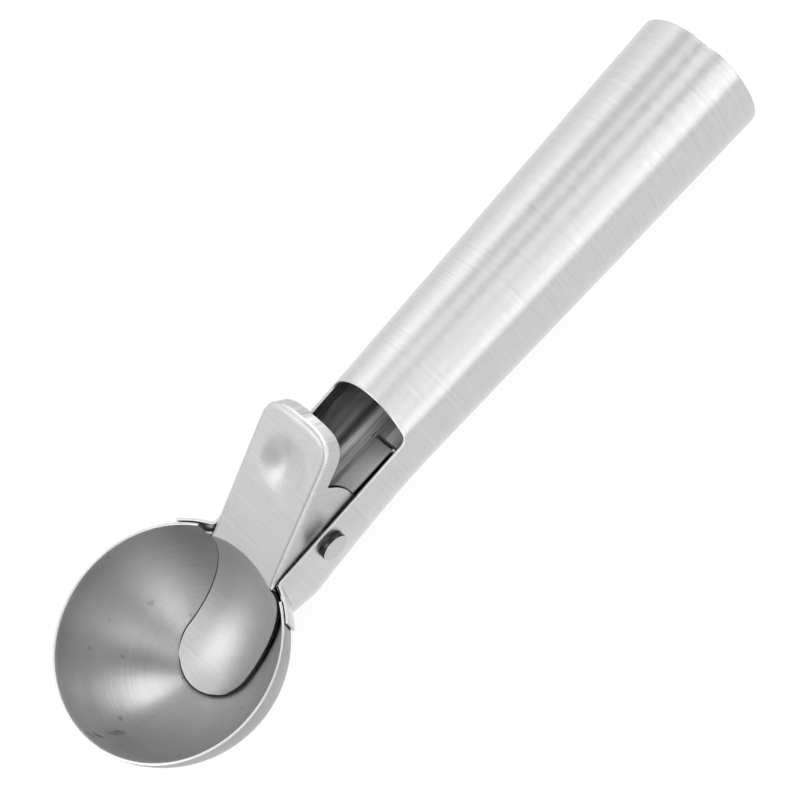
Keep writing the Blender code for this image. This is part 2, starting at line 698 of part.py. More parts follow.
def stand_up(frame, parts):
    """Rest bowl and handle end on the ground, with the origin below the box's centre."""
    heel_drop = HANDLE_DROP + END_RADIUS
    reach = math.hypot(HANDLE_LENGTH, heel_drop)
    tip = math.asin(BOWL_OUTER / reach) - math.atan2(heel_drop, HANDLE_LENGTH)
    frame.rotation_euler = (0.0, tip, 0.0)
    bpy.context.view_layer.update()
    graph = bpy.context.evaluated_depsgraph_get()
    corners = []
    for part in parts.objects:
        seen = part.evaluated_get(graph)
        corners += [seen.matrix_world @ vert.co for vert in seen.data.vertices]
    low = Vector(min(corner[axis] for corner in corners) for axis in range(3))
    high = Vector(max(corner[axis] for corner in corners) for axis in range(3))
    middle = (low + high) / 2
    frame.location = (-middle.x, -middle.y, -low.z)
    bpy.context.view_layer.update()


def build():
    clear_scene()
    parts = new_collection("ice_cream_scoop")
    cutters = new_collection("cutters")
    guides = new_collection("guides")
    frame = new_empty("scoop_frame", guides)
    pivot = new_empty("lever_pivot", guides)
    pivot.parent = frame
    pivot.location = PIN_CENTRE

    brushed = steel("brushed_steel", STEEL, 0.32)
    inside = steel("bowl_steel", STEEL, 0.28)
    plain = steel("pin_steel", STEEL, 0.25)
    spring_steel = steel("spring_steel", DARK_STEEL, 0.35)

    make_bowl(parts, cutters, frame, inside)
    make_handle(parts, cutters, frame, brushed)
    make_end_cap(parts, frame, brushed)
    make_lever(parts, cutters, frame, pivot, brushed)
    make_pin(parts, frame, plain)
    make_spring(parts, frame, spring_steel)
    stand_up(frame, parts)


build()
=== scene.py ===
"""Looks of the ice cream scoop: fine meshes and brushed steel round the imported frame.

Every shape is built in the scoop frame and then placed by the frame's own mount: the
origin is the centre of the bowl's rim, +X runs along the handle, +Y to its left and +Z out
of the bowl's mouth.
"""
import json
import math

import bmesh
import bpy
import numpy as np
from mathutils import Matrix, Vector


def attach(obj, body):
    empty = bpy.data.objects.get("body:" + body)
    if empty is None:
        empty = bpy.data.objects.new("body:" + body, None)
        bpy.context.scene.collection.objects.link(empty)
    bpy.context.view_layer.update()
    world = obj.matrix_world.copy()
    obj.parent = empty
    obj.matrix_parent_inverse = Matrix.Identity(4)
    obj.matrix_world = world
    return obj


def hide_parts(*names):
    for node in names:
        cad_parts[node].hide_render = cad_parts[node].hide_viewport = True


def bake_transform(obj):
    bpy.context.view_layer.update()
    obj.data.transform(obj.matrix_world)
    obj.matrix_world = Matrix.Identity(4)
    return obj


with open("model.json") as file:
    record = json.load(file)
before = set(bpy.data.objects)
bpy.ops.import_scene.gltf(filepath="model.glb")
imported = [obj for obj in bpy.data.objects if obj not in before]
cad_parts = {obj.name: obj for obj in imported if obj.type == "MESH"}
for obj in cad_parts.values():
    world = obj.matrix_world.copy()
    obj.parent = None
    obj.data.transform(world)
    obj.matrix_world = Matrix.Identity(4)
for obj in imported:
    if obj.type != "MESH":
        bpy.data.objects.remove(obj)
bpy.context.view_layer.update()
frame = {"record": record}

MM = 0.001
QUARTER = math.pi / 2

# Bowl
BOWL_RADIUS = 25.0 * MM
BOWL_WALL = 0.6 * MM
NOTCH_HALF_WIDTH = 12.4 * MM
NOTCH_DEPTH = 3.8 * MM
NOTCH_CORNER = 0.7 * MM

# Handle
CHANNEL_LENGTH = 40.1 * MM
TUBE_LENGTH = 102.7 * MM
HANDLE_DROP = 5.2 * MM
HANDLE_WALL = 0.6 * MM
MOUTH_RADIUS = 12.75 * MM
END_RADIUS = 15.75 * MM
END_EASE = 0.3 * MM
MOUTH_LEAN = math.radians(18.0)
MOUTH_FILLET = 2.4 * MM
WALL_TOP_AT_BOWL = 0.1 * MM
WALL_TOP_AT_MOUTH = 1.6 * MM
HEEL_REACH = 3.0 * MM
HEEL_DROP = 3.0 * MM
HEEL_ONSET = 3.0
HEEL_SQUARENESS = 4.2
SQUARENESS_ONSET = 1.7
HEEL_ROUND = 2.0 * MM
WALL_SQUARENESS = 2.1
UNDERSIDE_RISE = 0.36
WING_ANGLE = math.radians(42.3)
WING_HEIGHT = 8.4 * MM
WING_CORNER = math.radians(7.0)
WING_SQUARENESS = 3.0
WING_FILLET = 1.2 * MM
BOWL_GAP = 0.2 * MM

# Lever
LEVER_WALL = 0.7 * MM
LEVER_ANGLE = math.radians(38.0)
LEVER_INSET = 2.0 * MM
LEVER_HALF_WIDTH = 9.65 * MM
LEVER_BEND = 1.2 * MM
PAD_LENGTH = 35.73 * MM
PAD_ROUND = 5.9 * MM
PAD_SQUARENESS = 3.6
SKIRT_DEPTH = 4.4 * MM
DIMPLE_PLACE = 24.53 * MM
DIMPLE_RADIUS = 7.0 * MM
DIMPLE_DEPTH = 1.35 * MM
EAR_RADIUS = 7.6 * MM
EAR_REACH = 10.8 * MM
EAR_FRONT = 1.0 * MM
EAR_TOP_PLACE = 24.53 * MM
EAR_FOOT_REACH = 1.3 * EAR_RADIUS
EAR_FOOT = math.radians(-150.0)
EAR_BELOW = math.radians(-117.0)
EAR_REAR = math.radians(8.0)
EAR_RISE = 1.5
FLAT_SHARE = 0.77
PAD_CORNER_ONSET = 1.5
SIDE_MARGIN = 0.01 * MM
TONGUE_GAP = 0.5 * MM
TONGUE_END = math.radians(103.4)
TONGUE_WIDENING = 12.0
TIP_REACH = 1.4

# Pin and spring
PIN_REACH = 12.3 * MM
PIN_DROP = 2.7 * MM
PIN_RADIUS = 1.6 * MM
PIN_HEAD_RADIUS = 3.25 * MM
PIN_HEAD_HEIGHT = 1.2 * MM
PIN_HEAD_EASE = 0.2 * MM
PIN_FACE_RING = 0.6 * PIN_HEAD_RADIUS
PIN_SEAT_GAP = 0.1 * MM
# Which faces of the pin's head get the nearly black side, a painted shade
PIN_SIDE_REACH = 0.97 * PIN_HEAD_RADIUS
PIN_SIDE_LEAN = 0.7
RIVET_RADIUS = 2.6 * MM
RIVET_HEIGHT = 0.9 * MM
PIN_CLEARANCE = 0.2 * MM
SPRING_THICKNESS = 0.5 * MM
SPRING_HALF_WIDTH = 2.5 * MM
SPRING_ASIDE = 1.2 * MM
SPRING_BEND_REACH = 4.2 * MM
SPRING_BEND = 3.0 * MM
SPRING_KNEE = 0.4 * MM
SPRING_TAIL_SETBACK = 3.3 * MM
SPRING_TAIL_SINK = 0.8 * HANDLE_WALL
SPRING_TIP_SETBACK = 6.0 * MM
SPRING_CURL = 1.6 * MM
SPRING_CURL_TURN = math.radians(72.0)
SLOT_HALF_WIDTH = 3.6 * MM
SLOT_HALF_LENGTH = 0.75 * MM
SEAT_GAP = 0.3 * MM

# End cap
CAP_THICKNESS = 1.2 * MM
CAP_SKIRT = 6.0 * MM
CAP_SKIRT_WALL = 0.8 * MM
CAP_GAP = SEAT_GAP / 3

# Fineness of the meshes
WELD_DISTANCE = 0.002 * MM
BOWL_COLUMNS = 160
BOWL_ROWS = 40
NOTCH_COLUMNS = 24
NOTCH_EDGE_COLUMNS = 12
NOTCH_EDGE_SPREAD = math.radians(1.4)
LOWER_COLUMNS = 96
UPPER_COLUMNS = 56
HALF_SECTION_STEPS = 160
MOUTH_BLEND = 4.0 * MM
MOUTH_BLEND_ROWS = 10
TUBE_ROWS = 24
END_RIM = 0.4 * MM
CHANNEL_START = 4.0 * MM
CHANNEL_ROWS = 28
CORNER_ROWS = 8
HEEL_ROWS = 12
SEAT_ROWS = 5
TABLE_START = 12.0 * MM
TABLE_STEP = 0.5 * MM
WING_BEND_ROUNDS = 6
WING_BEND_STEPS = 6
WING_STEPS = 14
FACE_COLUMNS = 36
FLAT_ROWS = 16
PAD_ROWS = 40
BEND_STEPS = 6
EAR_SPOTS = 4
EAR_STEPS = 8
CURVE_STEPS = 16
TONGUE_ROWS = 40
TIP_ROWS = 16
HOLE_SIDES = 48
PIN_SIDES = 64
PIN_EASE_STEPS = 5
RIVET_STEPS = 8
SPRING_COLUMNS = 6
SPRING_FLOOR_STEPS = 16
SPRING_KNEE_STEPS = 5
SPRING_BEND_STEPS = 16
SPRING_CURL_STEPS = 12
CAP_SIDES = 128
CAP_EASE_STEPS = 4

# Edges
SHARP_ANGLE = math.radians(32.0)
EDGE_ANGLE = math.radians(50.0)
EDGE_ROUND = 0.14 * MM
LEVER_EDGE_ANGLE = math.radians(80.0)
LEVER_EDGE_ROUND = 0.3 * MM
STRIP_EDGE_ROUND = 0.1 * MM

# Metal
STEEL_IOR = 2.5

# Places that follow
AXIS_Z = -HANDLE_DROP
BOWL_OUTER = BOWL_RADIUS + BOWL_WALL
HEEL_X = BOWL_RADIUS + HEEL_REACH
MOUTH_X = BOWL_RADIUS + CHANNEL_LENGTH
MOUTH_FOOT_X = MOUTH_X - (MOUTH_RADIUS - HANDLE_DROP - WALL_TOP_AT_MOUTH) * math.tan(MOUTH_LEAN)
HANDLE_LENGTH = MOUTH_X + TUBE_LENGTH
SPRING_TAIL_X = MOUTH_X - SPRING_TAIL_SETBACK
TONGUE_RADIUS = BOWL_RADIUS - TONGUE_GAP - LEVER_WALL
FACE_HALF_WIDTH = LEVER_HALF_WIDTH - LEVER_BEND
FACE_ROOT = Vector((BOWL_RADIUS - LEVER_INSET, 0.0, 0.0))
FACE_ALONG = Vector((math.cos(LEVER_ANGLE), 0.0, math.sin(LEVER_ANGLE)))
FACE_NORMAL = Vector((-math.sin(LEVER_ANGLE), 0.0, math.cos(LEVER_ANGLE)))
PIN_CENTRE = Vector((BOWL_RADIUS + PIN_REACH, 0.0, -PIN_DROP))
PIN_PLACE = Matrix.Translation(PIN_CENTRE) @ Matrix.Rotation(QUARTER, 4, 'X')

# The scoop frame, from the mount on the handle's end
mount = frame["record"]["mounts"][0]
ALONG = Vector(mount["axis"]).normalized()
LEFT = Vector((0.0, 1.0, 0.0))
UP = ALONG.cross(LEFT)
RIM_CENTRE = Vector(mount["pos_m"]) - ALONG * HANDLE_LENGTH + UP * HANDLE_DROP
SCOOP = Matrix.Translation(RIM_CENTRE) @ Matrix((ALONG, LEFT, UP)).transposed().to_4x4()
FROM_SCOOP = SCOOP.inverted()


# Mesh helpers

def spaced(low, high, steps):
    return [low + (high - low) * i / steps for i in range(steps + 1)]


def shares(steps):
    return spaced(0.0, 1.0, steps)


def arc(centre, radius, start, end, steps):
    return [(centre[0] + radius * math.cos(angle), centre[1] + radius * math.sin(angle))
            for angle in spaced(start, end, steps)]


def object_of(name, shape):
    """Object of a bmesh that was built in the scoop frame."""
    shape.transform(SCOOP)
    mesh = bpy.data.meshes.new(name)
    shape.to_mesh(mesh)
    shape.free()
    made = bpy.data.objects.new(name, mesh)
    bpy.context.scene.collection.objects.link(made)
    return made


def quads_between(shape, first, second):
    for i in range(len(first) - 1):
        corners = (first[i], first[i + 1], second[i + 1], second[i])
        if len(set(corners)) == 4:
            shape.faces.new(corners)


def add_grid(shape, points):
    """Faces over a grid of points, an array of rows by columns by 3."""
    rows = [[shape.verts.new(point) for point in row] for row in points]
    for first, second in zip(rows, rows[1:]):
        quads_between(shape, first, second)


def weld(shape):
    bmesh.ops.remove_doubles(shape, verts=shape.verts, dist=WELD_DISTANCE)
    bmesh.ops.recalc_face_normals(shape, faces=shape.faces)


def face_outward(shape, towards):
    """Turn an open surface so that its first face looks towards the given side."""
    shape.faces.ensure_lookup_table()
    shape.normal_update()
    if shape.faces[0].normal.dot(towards) < 0:
        bmesh.ops.reverse_faces(shape, faces=shape.faces)


def thicken(piece, wall, even=True, inside=0, rim=0):
    """Give a sheet its wall; inside and rim pick the material of the new faces."""
    step = piece.modifiers.new("wall", 'SOLIDIFY')
    step.thickness = wall
    step.offset = -1.0
    step.use_even_offset = even
    step.material_offset = inside
    step.material_offset_rim = rim


def round_edges(piece, width, angle=EDGE_ANGLE, segments=2, material=-1):
    """Round the edges sharper than an angle; the new faces can have a material of their own."""
    step = piece.modifiers.new("edges", 'BEVEL')
    step.width = width
    step.segments = segments
    step.material = material
    step.limit_method = 'ANGLE'
    step.angle_limit = angle
    step.use_clamp_overlap = False


def cut(piece, cutter):
    step = piece.modifiers.new("cut", 'BOOLEAN')
    step.object = cutter
    step.operation = 'DIFFERENCE'
    step.solver = 'EXACT'


def apply_all(piece, cutters=()):
    """Fix the modifiers' result in the mesh and take the cutters away."""
    bpy.context.view_layer.update()
    seen = piece.evaluated_get(bpy.context.evaluated_depsgraph_get())
    piece.data = bpy.data.meshes.new_from_object(seen)
    piece.modifiers.clear()
    for cutter in cutters:
        bpy.data.objects.remove(cutter, do_unlink=True)


def smooth(piece):
    piece.data.shade_smooth()
    piece.data.set_sharp_from_angle(angle=SHARP_ANGLE)


def dress(piece, *materials):
    piece.data.materials.clear()
    for material in materials:
        piece.data.materials.append(material)


def map_grain(piece, place):
    """UV map in metres: U runs across the scratches and V along them."""
    mesh = piece.data
    layer = mesh.uv_layers.new(name="grain")
    spots = [place(FROM_SCOOP @ vert.co) for vert in mesh.vertices]
    for loop in mesh.loops:
        layer.data[loop.index].uv = spots[loop.vertex_index]


def round_the_axis(spot):
    """Scratches that run round the handle's axis."""
    return spot.x, MOUTH_RADIUS * math.atan2(spot.y, AXIS_Z - spot.z)


def round_the_bowl(spot):
    """Scratches that run round the bowl's axis."""
    ring = math.hypot(spot.x, spot.y)
    return BOWL_RADIUS * math.atan2(ring, -spot.z), BOWL_RADIUS * math.atan2(spot.y, spot.x)


def across_the_lever(spot):
    """Scratches that run across the pad and on down the skirt and ears, and across the tongue."""
    along = (spot - FACE_ROOT).dot(FACE_ALONG)
    if along > 0.0 or spot.z > 0.0:
        down = max(0.0, -(spot - FACE_ROOT).dot(FACE_NORMAL))
        return along, spot.y + math.copysign(down, spot.y)
    return -BOWL_RADIUS * math.atan2(-spot.z, spot.x), spot.y


def lathe(name, profile, steps, place):
    """Turn (radius, height) points about Z, then place the result in the scoop frame."""
    shape = bmesh.new()
    turns = [2 * math.pi * i / steps for i in range(steps)]
    rows = []
    for radius, height in profile:
        if radius < WELD_DISTANCE / 2:
            rows.append([shape.verts.new((0.0, 0.0, height))] * steps)
        else:
            rows.append([shape.verts.new((radius * math.cos(t), radius * math.sin(t), height))
                         for t in turns])
    for first, second in zip(rows, rows[1:]):
        for i in range(steps):
            j = (i + 1) % steps
            corners = []
            for vert in (first[i], first[j], second[j], second[i]):
                if vert not in corners:
                    corners.append(vert)
            shape.faces.new(corners)
    bmesh.ops.recalc_face_normals(shape, faces=shape.faces)
    shape.transform(place)
    return object_of(name, shape)


def box(name, low, high):
    shape = bmesh.new()
    bmesh.ops.create_cube(shape, size=1.0)
    bmesh.ops.scale(shape, vec=Vector(high) - Vector(low), verts=shape.verts)
    bmesh.ops.translate(shape, vec=(Vector(high) + Vector(low)) / 2, verts=shape.verts)
    return object_of(name, shape)


def cross_pin(name, radius, half_length):
    shape = bmesh.new()
    bmesh.ops.create_cone(shape, cap_ends=True, segments=HOLE_SIDES, radius1=radius, radius2=radius,
                          depth=2 * half_length, matrix=PIN_PLACE)
    return object_of(name, shape)


# Bowl

def rim_drop(turn):
    """How far below the rim the bowl's edge lies at an azimuth: the notch lets the lever through."""
    across = abs(BOWL_RADIUS * math.sin(turn))
    if math.cos(turn) < 0 or across > NOTCH_HALF_WIDTH + NOTCH_CORNER:
        return 0.0
    share = min(max((NOTCH_HALF_WIDTH + NOTCH_CORNER - across) / NOTCH_CORNER, 0.0), 1.0)
    return NOTCH_DEPTH * (1.0 - math.sqrt(max(1.0 - share ** 2, 0.0)))


def bowl_columns():
    """Azimuths round the bowl, close together where the notch's edge falls."""
    edge = math.asin((NOTCH_HALF_WIDTH + NOTCH_CORNER / 2) / BOWL_RADIUS)
    near = [edge + NOTCH_EDGE_SPREAD * t for t in spaced(-1.0, 1.0, NOTCH_EDGE_COLUMNS)]
    inside = spaced(-near[0], near[0], NOTCH_COLUMNS)
    rest = BOWL_COLUMNS - NOTCH_COLUMNS - 2 * NOTCH_EDGE_COLUMNS
    outside = spaced(near[-1], 2 * math.pi - near[-1], rest)
    return [-t for t in reversed(near)] + inside[1:-1] + near + outside[1:-1]


def make_bowl(steel, edge):
    shape = bmesh.new()
    turns = bowl_columns()
    bottom = shape.verts.new((0.0, 0.0, -BOWL_OUTER))
    columns = []
    for turn in turns:
        top = math.asin(rim_drop(turn) / BOWL_OUTER)
        column = []
        for share in shares(BOWL_ROWS)[:-1]:
            down = top + (QUARTER - top) * share
            ring = BOWL_OUTER * math.cos(down)
            column.append(shape.verts.new((ring * math.cos(turn), ring * math.sin(turn),
                                           -BOWL_OUTER * math.sin(down))))
        columns.append(column)
    for i, column in enumerate(columns):
        following = columns[(i + 1) % len(columns)]
        quads_between(shape, column, following)
        shape.faces.new((column[-1], following[-1], bottom))
    bmesh.ops.recalc_face_normals(shape, faces=shape.faces)
    face_outward(shape, shape.faces[0].calc_center_median())
    bowl = object_of("spun_bowl", shape)
    dress(bowl, steel, edge)
    thicken(bowl, BOWL_WALL, rim=1)
    round_edges(bowl, EDGE_ROUND)
    apply_all(bowl)
    smooth(bowl)
    map_grain(bowl, round_the_bowl)
    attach(bowl, "handle")
    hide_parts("bowl")


# Handle

def tube_radius(x):
    return MOUTH_RADIUS + (END_RADIUS - MOUTH_RADIUS) * (x - MOUTH_X) / TUBE_LENGTH


def channel_share(x):
    return min(max((MOUTH_X - x) / (MOUTH_X - HEEL_X), 0.0), 1.0)


def section_depth(x):
    depth = tube_radius(max(x, HEEL_X)) + HEEL_DROP * channel_share(x) ** HEEL_ONSET
    past_heel = HEEL_X - x
    rounded = (past_heel + math.hypot(past_heel, HEEL_ROUND)) / 2
    return depth - UNDERSIDE_RISE * rounded * channel_share(x)


def half_section(x):
    """Left half of the handle's section, from its crown to its bottom, with its length."""
    share = channel_share(x)
    step = np.linspace(0.0, 1.0, HALF_SECTION_STEPS)
    turn = QUARTER * (3 * step ** 2 - 2 * step ** 3)
    upper = 2.0 + (WALL_SQUARENESS - 2.0) * share
    lower = 2.0 + (HEEL_SQUARENESS - 2.0) * share ** SQUARENESS_ONSET
    radius = tube_radius(x)
    y = np.concatenate([radius * np.sin(turn) ** (2 / upper), radius * np.cos(turn)[1:] ** (2 / lower)])
    z = np.concatenate([radius * np.cos(turn) ** (2 / upper),
                        -section_depth(x) * np.sin(turn)[1:] ** (2 / lower)]) + AXIS_Z
    length = np.concatenate([[0.0], np.cumsum(np.hypot(np.diff(y), np.diff(z)))])
    return y, z, length


def half_row(x, start, end, count):
    """Points at even steps along the left half section between two lengths."""
    y, z, length = half_section(x)
    spots = np.linspace(start, end, count + 1)
    return np.stack([np.full(count + 1, x), np.interp(spots, length, y), np.interp(spots, length, z)], 1)


def length_at(x, height):
    _, z, length = half_section(x)
    return float(np.interp(-height, -z, length))


def mirrored(half):
    """A half row with its mirror image after it."""
    other = half[::-1][1:] * np.array([1.0, -1.0, 1.0])
    return np.concatenate([half, other])


def lower_row(x, split):
    """From the left wall's top edge round the underside to the right one's."""
    total = half_section(x)[2][-1]
    return mirrored(half_row(x, length_at(x, split), total, LOWER_COLUMNS // 2))


def upper_row(x, split):
    """From the left split over the crown to the right one."""
    half = half_row(x, 0.0, length_at(x, split), UPPER_COLUMNS // 2)
    return mirrored(half[::-1])


def mouth_corner():
    """Centre of the fillet between the wall's top edge and the mouth's leaning cut."""
    slope = math.atan2(WALL_TOP_AT_MOUTH - WALL_TOP_AT_BOWL, MOUTH_FOOT_X - BOWL_RADIUS)
    rise = QUARTER - MOUTH_LEAN
    setback = MOUTH_FILLET / math.tan((math.pi - (rise - slope)) / 2)
    centre = (MOUTH_FOOT_X - setback * math.cos(slope) - MOUTH_FILLET * math.sin(slope),
              WALL_TOP_AT_MOUTH - setback * math.sin(slope) + MOUTH_FILLET * math.cos(slope))
    return centre, slope - QUARTER, rise - QUARTER


CORNER, CORNER_START, CORNER_END = mouth_corner()
CORNER_MIDDLE = (CORNER_START + CORNER_END) / 2
SPLIT_X = CORNER[0] + MOUTH_FILLET * math.cos(CORNER_MIDDLE)
SPLIT_Z = CORNER[1] + MOUTH_FILLET * math.sin(CORNER_MIDDLE)
ARC_START_X = CORNER[0] + MOUTH_FILLET * math.cos(CORNER_START)
ARC_END_Z = CORNER[1] + MOUTH_FILLET * math.sin(CORNER_END)


def wall_top(x):
    if x <= BOWL_RADIUS:
        return WALL_TOP_AT_BOWL
    if x < ARC_START_X:
        share = (x - BOWL_RADIUS) / (MOUTH_FOOT_X - BOWL_RADIUS)
        return WALL_TOP_AT_BOWL + (WALL_TOP_AT_MOUTH - WALL_TOP_AT_BOWL) * share
    reach = min(x, SPLIT_X) - CORNER[0]
    return CORNER[1] - math.sqrt(MOUTH_FILLET ** 2 - reach ** 2)


def mouth_x(z):
    """Where the mouth's cut runs at a height."""
    if z < ARC_END_Z:
        return CORNER[0] + math.sqrt(max(MOUTH_FILLET ** 2 - (z - CORNER[1]) ** 2, 0.0))
    return MOUTH_FOOT_X + (z - WALL_TOP_AT_MOUTH) * math.tan(MOUTH_LEAN)


def tube_grids(shape):
    """The closed tube, from the mouth's arch to the handle's end."""
    full_x = MOUTH_X + MOUTH_BLEND
    arch = upper_row(MOUTH_X, SPLIT_Z)
    arch[:, 0] = [mouth_x(z) for z in arch[:, 2]]
    below = lower_row(SPLIT_X, SPLIT_Z)
    arch[0], arch[-1] = below[0], below[-1]
    blend = np.array(shares(MOUTH_BLEND_ROWS))[:, None, None]
    for start, full in ((arch, upper_row(full_x, SPLIT_Z)), (below, lower_row(full_x, SPLIT_Z))):
        add_grid(shape, start[None] * (1 - blend) + full[None] * blend)
    end_x = HANDLE_LENGTH - END_EASE
    stations = spaced(full_x, end_x - END_RIM, TUBE_ROWS) + [end_x]
    for row in (upper_row, lower_row):
        add_grid(shape, np.array([row(x, SPLIT_Z) for x in stations]))


def channel_grids(shape):
    """The open channel, with its wings bent outward round the bowl and its end welded to it."""
    fixed_x = HEEL_X + CHANNEL_START
    stations = spaced(fixed_x, ARC_START_X, CHANNEL_ROWS)
    stations += spaced(ARC_START_X, SPLIT_X, CORNER_ROWS)[1:]
    add_grid(shape, np.array([lower_row(x, wall_top(x)) for x in stations]))

    table_x = np.append(np.arange(TABLE_START, fixed_x - TABLE_STEP / 5, TABLE_STEP), fixed_x)
    table = np.array([lower_row(x, wall_top(x)) for x in table_x])
    reach = np.linalg.norm(table, axis=2)
    count = table.shape[1]
    seat = [float(np.interp(BOWL_OUTER + BOWL_GAP, reach[:, j], table_x)) for j in range(count)]

    def point(x, j):
        return np.array([x, np.interp(x, table_x, table[:, j, 1]), np.interp(x, table_x, table[:, j, 2])])

    outer = BOWL_OUTER + SEAT_GAP + HANDLE_WALL

    def bend_start(j):
        x = BOWL_RADIUS
        for _ in range(WING_BEND_ROUNDS):
            spot = point(x, j)
            ring = math.sqrt(outer ** 2 - spot[2] ** 2)
            x = math.sqrt((ring + WING_FILLET) ** 2 - (abs(spot[1]) + WING_FILLET) ** 2)
        return x

    heights = [point(BOWL_RADIUS, j)[2] for j in range(count // 2)]
    last = max(j for j, z in enumerate(heights) if z >= -WING_HEIGHT)
    start = [bend_start(j) for j in range(last + 1)]
    lead = start[last] - seat[last]
    start += [seat[j] + lead for j in range(last + 1, count // 2 + 1)]
    start += start[-2::-1]
    rows = []
    for share in shares(HEEL_ROWS):
        rows.append([point(fixed_x + (start[j] - fixed_x) * share, j) for j in range(count)])
    add_grid(shape, np.array(rows))
    rows = []
    for share in shares(SEAT_ROWS):
        rows.append([point(start[j] + (seat[j] - start[j]) * share, j)
                     for j in range(last, count - last)])
    add_grid(shape, np.array(rows))

    # Wings: a bend at constant height, then along the bowl
    for side in (1, -1):
        columns = []
        for j in range(last + 1):
            spot = point(start[j], j)
            ring = math.sqrt(outer ** 2 - spot[2] ** 2)
            centre = (start[j], spot[1] + WING_FILLET)
            touch = math.atan2(centre[1], centre[0])
            path = arc(centre, WING_FILLET, -QUARTER, touch - math.pi, WING_BEND_STEPS)
            below = (WALL_TOP_AT_BOWL - spot[2]) / WING_HEIGHT
            edge = min(max(2.0 * below - 1.0, 0.0), 1.0)
            reach_turn = WING_ANGLE - WING_CORNER * (1.0 - math.sqrt(1.0 - edge ** WING_SQUARENESS))
            path += arc((0.0, 0.0), ring, touch, reach_turn, WING_STEPS)[1:]
            columns.append([(x, side * y, spot[2]) for x, y in path])
        add_grid(shape, np.array(columns))


def floor_height(x, across):
    """Height of the channel's floor at x, at a distance from the middle."""
    radius = tube_radius(x) - HANDLE_WALL
    power = 2.0 + (HEEL_SQUARENESS - 2.0) * channel_share(x) ** SQUARENESS_ONSET
    depth = section_depth(x) - HANDLE_WALL
    return AXIS_Z - depth * (1.0 - (abs(across) / radius) ** power) ** (1.0 / power)


def make_handle(steel, inside, edge):
    shape = bmesh.new()
    tube_grids(shape)
    channel_grids(shape)
    weld(shape)
    face_outward(shape, Vector((0.0, 1.0, 0.0)))
    handle = object_of("handle_sheet", shape)
    dress(handle, steel, inside, edge)
    thicken(handle, HANDLE_WALL, inside=1, rim=2)
    round_edges(handle, EDGE_ROUND)
    holes = cross_pin("pin_hole_cutter", PIN_RADIUS + PIN_CLEARANCE, 2 * MOUTH_RADIUS)
    slot_low = (SPRING_TAIL_X - SLOT_HALF_LENGTH, SPRING_ASIDE - SLOT_HALF_WIDTH,
                AXIS_Z - 2 * MOUTH_RADIUS)
    slot_high = (SPRING_TAIL_X + SLOT_HALF_LENGTH, SPRING_ASIDE + SLOT_HALF_WIDTH,
                 AXIS_Z - MOUTH_RADIUS / 2)
    slot = box("slot_cutter", slot_low, slot_high)
    cut(handle, holes)
    cut(handle, slot)
    apply_all(handle, (holes, slot))
    smooth(handle)
    map_grain(handle, round_the_axis)
    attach(handle, "handle")
    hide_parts("handle_shell")


def make_end_cap(steel):
    face = tube_radius(HANDLE_LENGTH) - HANDLE_WALL - CAP_GAP
    rear = tube_radius(HANDLE_LENGTH - CAP_SKIRT) - HANDLE_WALL - CAP_GAP
    round_off = [(face - END_EASE + END_EASE * math.sin(t), -END_EASE + END_EASE * math.cos(t))
                 for t in spaced(0.0, QUARTER, CAP_EASE_STEPS)]
    profile = [(0.0, 0.0), (face * 0.5, 0.0)] + round_off
    profile += [(rear, -CAP_SKIRT), (rear - CAP_SKIRT_WALL, -CAP_SKIRT),
                (face - CAP_SKIRT_WALL, -CAP_THICKNESS), (0.0, -CAP_THICKNESS)]
    place = Matrix.Translation((HANDLE_LENGTH, 0.0, AXIS_Z)) @ Matrix.Rotation(QUARTER, 4, 'Y')
    cap = lathe("end_cap", profile, CAP_SIDES, place)
    dress(cap, steel)
    smooth(cap)
    map_grain(cap, round_the_axis)
    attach(cap, "handle")
    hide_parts("handle_end_cap")


# Lever

def face_point(along, across, drop=0.0):
    return FACE_ROOT + FACE_ALONG * along + Vector((0.0, across, 0.0)) - FACE_NORMAL * drop


def crease_place(across):
    half = FACE_ROOT.x * math.cos(LEVER_ANGLE)
    rest = FACE_ROOT.x ** 2 + across ** 2 - TONGUE_RADIUS ** 2
    return -half + math.sqrt(half ** 2 - rest)


def dimple_drop(along, across):
    reach = math.hypot(along - DIMPLE_PLACE, across) / DIMPLE_RADIUS
    return DIMPLE_DEPTH * math.cos(min(reach, 1.0) * QUARTER) ** 2


def corner_set_back(across):
    return 1.0 - (1.0 - min(abs(across), 1.0) ** PAD_SQUARENESS) ** (1.0 / PAD_SQUARENESS)


def ear_edge():
    """Lower edge of an ear: from its front, round below the pin and up to the skirt."""

    def about_pin(reach, angle):
        return PIN_CENTRE + Vector((reach * math.cos(angle), 0.0, reach * math.sin(angle)))

    edge = [Vector((FACE_ROOT.x + EAR_FRONT, 0.0, PIN_CENTRE.z))]
    edge.append(about_pin(EAR_FOOT_REACH, EAR_FOOT))
    for share in shares(EAR_SPOTS):
        reach = EAR_RADIUS + (EAR_REACH - EAR_RADIUS) * share ** 2
        edge.append(about_pin(reach, EAR_BELOW + (EAR_REAR - EAR_BELOW) * share))
    top = face_point(EAR_TOP_PLACE, 0.0, SKIRT_DEPTH) - PIN_CENTRE
    top_angle = math.atan2(top.z, top.x)
    for share in shares(EAR_SPOTS)[1:]:
        reach = EAR_REACH + (top.length - EAR_REACH) * share ** EAR_RISE
        edge.append(about_pin(reach, EAR_REAR + (top_angle - EAR_REAR) * share))
    return edge


